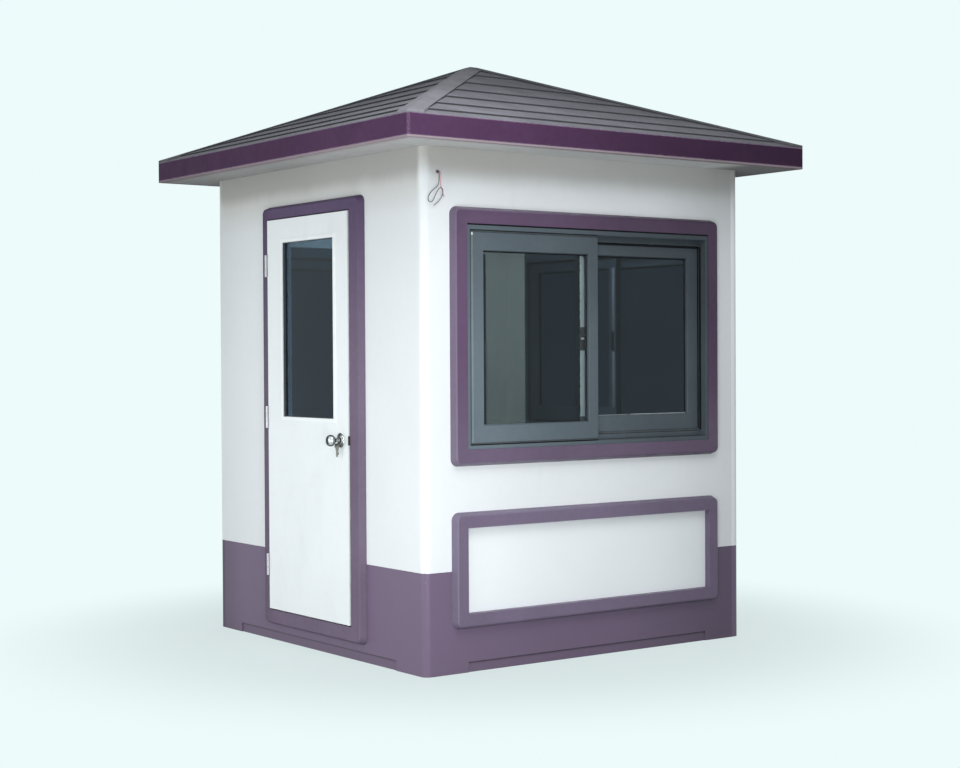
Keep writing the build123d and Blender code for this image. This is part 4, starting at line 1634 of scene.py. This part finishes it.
    def gaskets(self) -> None:
        """Builds the rims and the rubber round each pane, and the bright bead under the inner pane."""
        rubber, beads, rims = Blank(), Blank(), Blank()
        edge, lap, fine = self.glazing_edge, 0.0002, self.fine
        for sash, inner in ((self.outer, False), (self.inner, True)):
            left, right, foot, head, face = self.pane(sash, inner)
            back = face - self.pane_depth
            for low_out, high_out in ((face, face + self.rim), (back - self.rim, back)):
                rims.ring((left, low_out, foot), (right, high_out, head), edge, 0.0005)
            side, top = right - edge, head - self.top_gasket_and_shadow
            # The tall gasket at the head is partly real rubber and partly painted shadow under the rail.
            rubber.block((left + edge, face, top), (side, face + 0.0026, head - edge + lap), fine)
            rubber.block((side - 0.004, face, foot + 0.004), (side + lap, face + 0.0024, top), fine)
            if inner:
                width = right - left
                for start, end, out, up, arris in ((left + 0.42 * width, right - 0.010, 0.0075, 0.0036, 0.0012),
                                                   (left + 0.001, left + 0.40 * width, 0.0030, 0.0026, 0.0009)):
                    beads.block((start, face, foot + lap), (end, face + out, foot + up), arris)
        self.add(rubber, "gaskets", "seal_rubber", "latch_plastic")
        self.add(rims, "rims", "slate_powder_coat", "latch_plastic")
        self.add(beads, "bead", "dull_aluminium", "aluminium_frame")

    def interlock(self) -> None:
        """Builds the bare strips on both faces of the inner sash's meeting stile, broken at the catch."""
        low, high = self.inner
        foot, head = low.z + self.bottom_rail, high.z - self.inner_top_rail
        face, back, clear = high.y + self.skin, low.y - self.skin, 0.004
        outside, inside = Blank(), Blank()
        for z_low, z_high in ((foot, self.latch[0].z - clear), (self.latch[1].z + clear, head)):
            for start, end, arris in ((0.006, 0.031, self.fine), (0.0105, 0.0125, self.gap)):
                outside.block((low.x + start, face, z_low), (low.x + end, high.y + self.strip, z_high), arris)
            inside.block((low.x + 0.010, low.y - self.strip, z_low), (low.x + 0.029, back, z_high), self.fine)
        self.add(outside, "interlock", "bare_aluminium", "aluminium_frame")
        self.add(inside, "back_interlock", "dull_aluminium", "aluminium_frame")

    def edge_strip(self) -> None:
        """Builds the strip down the outer sash's closing edge, paler as painted light on that edge, with its bright end
        cap as a painted highlight.
        """
        low, high = self.outer
        x, out, top = low.x, high.y, high.z
        strip = Blank().block((x + 0.0005, out - 0.001, low.z + 0.001), (x + 0.0105, out + 0.0016, top - 0.001),
                              0.0012, 3)
        cap = Blank().block((x + 0.0010, out + 0.001, top - 0.013), (x + 0.0085, out + 0.0026, top - 0.0015), self.soft)
        self.add(strip, "edge_strip", "lit_edge_powder_coat", "aluminium_frame")
        self.add(cap, "end_cap", "bare_aluminium", "aluminium_frame")

    def catch(self) -> None:
        """Builds the catch: a housing through the stile, a cover on its outer face and a ribbed lever inside."""
        low, high = self.latch
        middle, level = (low.x + high.x) / 2, (low.z + high.z) / 2
        x, face = self.inner[0].x, self.inner[1].y
        housing = Blank()
        housing.block((low.x, low.y + 0.005, low.z), (high.x, high.y, high.z), 0.002, 3)
        housing.block((x + 0.004, face + self.skin, low.z + 0.002), (x + 0.034, face + 0.003, high.z - 0.002),
                      0.0012, 3)
        housing.block((middle - 0.006, low.y, level - 0.02), (middle + 0.006, low.y + 0.008, level + 0.02), 0.0018, 3)
        for step in range(self.ribs):
            rib, half = level + (step - self.ribs // 2) * self.rib_pitch, 0.0009
            housing.block((middle - 0.0055, low.y - 0.0002, rib - half), (middle + 0.0055, low.y + 0.002, rib + half),
                          0.0004, 1)
        self.add(housing, "catch", "latch_plastic", "latch_plastic", replaced=(f"{self.name}_latch",))
        tip = Blank().block((x + 0.010, face + 0.0028, level - 0.003), (x + 0.026, face + 0.0052, level + 0.005),
                            0.0009)
        self.add(tip, "catch_tip", "bare_aluminium", "aluminium_frame")


@dataclass
class BlindPanel(Assembly):
    """The smooth white sheet inside the raised moulding under a window.

    Attributes:
        border: The width of the moulding.
        thickness: The sheet's thickness.
        gap: The gap between the sheet and the moulding.
        skin: The gap between the sheet and the wall.
    """

    border: float = 0.065
    thickness: float = 0.0018
    gap: float = 0.0004
    skin: float = 0.0001

    def build(self) -> None:
        """Builds the sheet."""
        low, high = self.box("panel_surround")
        inset = self.border + self.gap
        sheet = Blank().block((low.x + inset, self.skin, low.z + inset),
                              (high.x - inset, self.thickness, high.z - inset), 0.0006, 1)
        self.add(sheet, "blind_sheet", "sheet_gel_coat", "wall")


@dataclass
class DoorFurniture(Assembly):
    """The door's knobs, roses, keys, latch bolt, screws and glazing gasket.

    Sizes that their names explain are left out here:

    Attributes:
        leaf_face: How far out the leaf's outer face lies.
        leaf_back: How far out its inner face lies.
        reach: How far a knob stands out from the leaf.
        turn_steps: How many steps the knobs and roses have round them.
        ring_radius: The key ring's radius to the middle of its wire.
        ring_wire: The radius of its wire.
        ring_out: How far the ring hangs out from the leaf.
        key_length: The length of a key from the middle of its hole.
        shoulder: The half width of a key's shoulder, and where it starts and ends along the key.
        blade_edge: How far the uncut edge of a blade lies from the key's axis.
        screw_spread: How far the latch plate's screws sit above and below the knobs' axis.
        bite: How deep the door's pane sits in the leaf.
        glazing_edge: The width of its gasket.
        middle: The knobs' axis along the wall.
        level: Its height.
    """

    leaf_face: float = 0.035
    leaf_back: float = -0.010
    knob_radius: float = 0.026
    neck_radius: float = 0.010
    reach: float = 0.070
    rose_radius: float = 0.032
    rose_height: float = 0.009
    turn_steps: int = 40
    ring_radius: float = 0.0152
    ring_wire: float = 0.0009
    ring_out: float = 0.022
    bow_radius: float = 0.011
    bow_hole: float = 0.0028
    key_length: float = 0.054
    key_thickness: float = 0.0022
    key_spacing: float = 0.004
    shoulder: Point = (0.0056, 0.017, 0.0235)
    blade_edge: float = 0.0036
    screw_spread: float = 0.022
    bite: float = 0.008
    glazing_edge: float = 0.003
    middle: float = field(init=False)
    level: float = field(init=False)

    def __post_init__(self) -> None:
        """Finds the knobs' axis."""
        low, high = self.box("knobs")
        self.middle, self.level = (low.x + high.x) / 2, (low.z + high.z) / 2

    def build(self) -> None:
        """Builds everything."""
        self.knobs()
        self.roses()
        self.keys()
        self.latch()
        self.gasket()

    def on_both_faces(self, outline: Outline) -> Blank:
        """Turns an outline round the knobs' axis, once on each face of the leaf.

        Args:
            outline: The outline as distances from the axis and from the leaf.

        Returns:
            The blank.
        """
        blank = Blank()
        for out, turn in ((self.leaf_face, QUARTER), (self.leaf_back, -QUARTER)):
            place = Matrix.Translation(on_wall(self.middle, out, self.level)) @ Matrix.Rotation(turn, 4, "X")
            blank.turned(outline, self.turn_steps, place)
        return blank

    def knobs(self) -> None:
        """Builds both turned knobs, and the keyway in the outer one."""
        ball, neck = self.knob_radius, self.neck_radius
        shaft = [(0.0, 0.010), (neck - 0.001, 0.010), (neck - 0.001, 0.0115), (neck - 0.0025, 0.013),
                 (neck - 0.0025, 0.026), (neck + 0.0005, 0.0300), (neck + 0.0035, 0.0325)]
        head = [(ball * share, along) for share, along in (
            (0.74, 0.0375), (0.91, 0.0425), (0.985, 0.0475), (1 - 0.0003 / ball, 0.0520), (0.985, 0.0555),
            (0.925, 0.0600), (0.83, 0.0640), (0.70, 0.0670), (0.60, 0.0680), (0.565, 0.0678), (0.550, 0.0664),
            (0.515, 0.0664), (0.500, 0.0680), (0.485, 0.0688), (0.40, 0.0694), (0.0, self.reach - 0.0004))]
        self.add(self.on_both_faces(shaft + head), "turned_knobs", "chrome_painted_reflection", "knob_chrome", Body.KNOBS,
                 ("door_knobs",), 28.0)
        slot, face = Blank(), self.leaf_face + self.reach
        slot.block((self.middle - 0.0006, face - 0.0012, self.level - 0.0045),
                   (self.middle + 0.0006, face - 0.0001, self.level + 0.0045), 0.0)
        slot.block((self.middle - 0.0018, face - 0.0012, self.level - 0.0010),
                   (self.middle + 0.0018, face - 0.0002, self.level + 0.0016), 0.0005)
        self.add(slot, "keyway", "seal_rubber", "latch_plastic", Body.KNOBS)

    def roses(self) -> None:
        """Builds the stepped roses under both knobs."""
        edge, high, bore = self.rose_radius, self.rose_height, self.neck_radius + 0.0006
        rim = [(edge - back, along) for back, along in (
            (0.0004, 0.0), (0.0, 0.0006), (0.0002, 0.0022), (0.0030, 0.0040), (0.0065, 0.0048), (0.0075, 0.0044),
            (0.0090, 0.0044), (0.0098, 0.0052), (0.0120, 0.0068))]
        hub = [(bore + 0.0055, high - 0.0006), (bore + 0.0012, high), (bore, high - 0.0006), (bore, 0.0)]
        self.add(self.on_both_faces([(bore, 0.0)] + rim + hub), "turned_roses", "chrome_painted_reflection", "knob_chrome",
                 Body.DOOR, ("door_roses",), 28.0)

    def keys(self) -> None:
        """Builds two keys on a split ring that hangs on the outer knob's neck."""
        radius, wire = self.ring_radius, self.ring_wire
        ring_level = self.box("keys")[1].z - radius - wire
        out = self.leaf_face + self.ring_out
        blank, upright = Blank(), Matrix.Rotation(QUARTER, 4, "X")
        angles = (QUARTER / 2 * step for step in range(9))
        round_wire = [(radius + wire * math.cos(angle), wire * math.sin(angle)) for angle in angles]
        for shift in (-wire * 0.45, wire * 0.45):
            blank.turned(round_wire, 36, Matrix.Translation(on_wall(self.middle, out + shift, ring_level)) @ upright)
        for index, (round_ring, twist, lean, share) in enumerate(((-4.0, 46.0, -2.0, 1.0), (34.0, 30.0, -7.0, 0.86))):
            angle = math.radians(round_ring)
            hole = on_wall(self.middle + radius * math.sin(angle), out + (index - 0.5) * self.key_spacing,
                           ring_level - radius * math.cos(angle))
            turn = Matrix.Rotation(math.radians(twist), 4, "Z") @ Matrix.Rotation(math.radians(lean), 4, "Y")
            self.key(blank, Matrix.Translation(hole) @ turn @ upright, index, self.key_length * share)
        self.add(blank, "key_bunch", "key_nickel", "keys", Body.DOOR, ("door_keys",), 30.0)

    def key(self, blank: Blank, place: Matrix, index: int, length: float) -> None:
        """Adds one key: a bow with its hole, a shoulder, and a blade with cuts.

        Args:
            blank: The blank that it joins.
            place: Takes the key's plane to where it hangs.
            index: Which key it is.
            length: Its length from the middle of its hole.
        """
        bow, hole, half, edge = self.bow_radius, self.bow_hole, self.key_thickness / 2, self.blade_edge
        rim = [(hole, -half), (bow - 0.0006, -half), (bow, 0.0005 - half), (bow, half - 0.0005),
               (bow - 0.0006, half), (hole, half), (hole, -half)]
        blank.turned(rim, 24, place @ Matrix.Translation((0, -bow * 0.62, 0)))
        wide, top, foot = self.shoulder
        blank.plate([(-wide, -top), (wide, -top), (wide, -foot), (-wide, -foot)], 2 * half, place, 0.0003)
        tip = -length
        cuts = ((0.0040, 0.0026, 0.0034, 0.0022), (0.0030, 0.0038, 0.0022, 0.0034))[index]
        blade = [(-0.0046, -foot), (-0.0046, tip + 0.003), (-0.0016, tip), (0.0014, tip), (edge, tip + 0.004)]
        first = tip + 0.006
        pitch = (-0.0265 - first) / len(cuts)
        for step, depth in enumerate(cuts):
            start, bottom = first + step * pitch, depth - 0.001
            blade += [(edge, start), (bottom, start + pitch * 0.35), (bottom, start + pitch * 0.6),
                      (edge, start + pitch * 0.95)]
        blank.plate(blade + [(0.0038, -foot)], 1.7 * half, place)
        groove = [(-0.0008, -0.025), (0.0004, -0.025), (0.0004, tip + 0.004), (-0.0008, tip + 0.004)]
        blank.plate(groove, 2 * half, place, 0.0002)

    def latch(self) -> None:
        """Builds the latch's sloped bolt and the screws of its plate."""
        low, high = self.box("latch_plate")
        middle, half = (low.y + high.y) / 2, Vector((0, 0.006, 0.008))
        bolt = Blank().block(Vector((high.x - 0.004, middle, self.level)) - half,
                             Vector((high.x + 0.0055, middle, self.level)) + half, 0.0024, 3)
        self.add(bolt, "latch_bolt", "brushed_steel", "latch_steel", Body.DOOR)
        screws = Blank()
        for shift in (-self.screw_spread, self.screw_spread):
            place = Matrix.Translation(on_wall(high.x, middle, self.level + shift))
            self.screw(screws, place @ Matrix.Rotation(QUARTER, 4, "Y"))
        self.add(screws, "latch_screws", "brushed_steel", "latch_steel", Body.DOOR, crease=25.0)

    @staticmethod
    def screw(blank: Blank, place: Matrix) -> None:
        """Adds a countersunk screw's head with a cross on it.

        Args:
            blank: The blank that it joins.
            place: Takes the Z axis out of the surface.
        """
        blank.turned([(0.0, -0.0015), (0.0026, -0.0012), (0.0030, 0.0001), (0.0024, 0.0005), (0.0, 0.0006)], 16, place)
        long, wide = 0.0016, 0.0003
        for turn in (0, QUARTER):
            cross = place @ Matrix.Rotation(turn, 4, "Z") @ Matrix.Translation((0, 0, 0.00052))
            blank.plate([(-long, -wide), (long, -wide), (long, wide), (-long, wide)], wide, cross)

    def gasket(self) -> None:
        """Builds the thin rubber line round the door's pane on both faces."""
        low, high = self.box("glass")
        left, right, foot, head = low.x + self.bite, high.x - self.bite, low.z + self.bite, high.z - self.bite
        lip, lap = 0.0022, 0.0002
        blank = Blank()
        for out_low, out_high in ((high.y, high.y + lip), (low.y - lip, low.y)):
            blank.ring((left, out_low, foot), (right, out_high, head), self.glazing_edge, 0.0005)
        blank.block((left + lap, high.y + lip, foot + lap), (left + 0.0014, self.leaf_face - 0.002, head - lap),
                    0.0004)
        self.add(blank, "gasket", "pile_seal", "latch_plastic", Body.DOOR)


class CadDress:
    """Gives each CAD node the finish of the first rule whose word is in its name."""

    rules: tuple[tuple[str, str], ...] = (
        ("hip_caps", "hip_cap_shell"), ("peak_cap", "hip_cap_shell"), ("roof_", "roof_shell"),
        ("fascia", "fascia_purple"), ("panel_surround", "panel_moulding_purple"),
        ("door_surround", "door_moulding_purple"), ("surround", "moulding_purple"), ("glass_bead", "bead_enamel"),
        ("front_window_glass", "trimmed_tinted_glass"), ("door_glass", "door_tinted_glass"),
        ("glass", "tinted_glass"), ("window_latch", "latch_plastic"), ("window_", "slate_powder_coat"),
        ("door_knobs", "chrome_painted_reflection"), ("door_roses", "chrome_painted_reflection"), ("latch_plate", "brushed_steel"),
        ("strike_plate", "strike_steel"), ("door_keys", "key_nickel"), ("hinge_", "hinge_satin_steel"),
        ("door_frame", "lining_enamel"), ("door_leaf", "door_enamel"), ("floor_deck", "sheet_flooring"),
        ("floor_panel", "floor_panel_shell"), ("soffit", "soffit_shell"), ("wire_grommet", "grommet_rubber"),
        ("wire_dark", "dark_sheath"), ("wire_red", "red_sheath"), ("wall", "wall_gel_coat"),
    )

    def dress(self, nodes: dict[str, bpy.types.Object], finishes: Finishes) -> None:
        """Puts the finishes on the CAD nodes.

        Args:
            nodes: The CAD nodes by name.
            finishes: The booth's finishes.
        """
        for name, node in nodes.items():
            finish = next(finish for part, finish in self.rules if part in name)
            node.data.materials.clear()
            node.data.materials.append(finishes[finish])
            log.info("%s is finished in %s", name, finish)


def main() -> None:
    """Builds the booth's visible model and its studio."""
    logging.basicConfig(level=logging.INFO, format="%(message)s")
    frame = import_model()
    Viewpoint().build()
    finishes = Finishes()
    Wires().build(finishes)
    Studio().build()
    CadDress().dress(frame["nodes"], finishes)
    for name, side in (("front", Side.FRONT), ("right", Side.RIGHT), ("back", Side.BACK)):
        SlidingWindow(finishes, f"{name}_window", side).build()
        BlindPanel(finishes, name, side).build()
    DoorFurniture(finishes, "door", Side.DOOR).build()


if __name__ == "__main__":
    main()
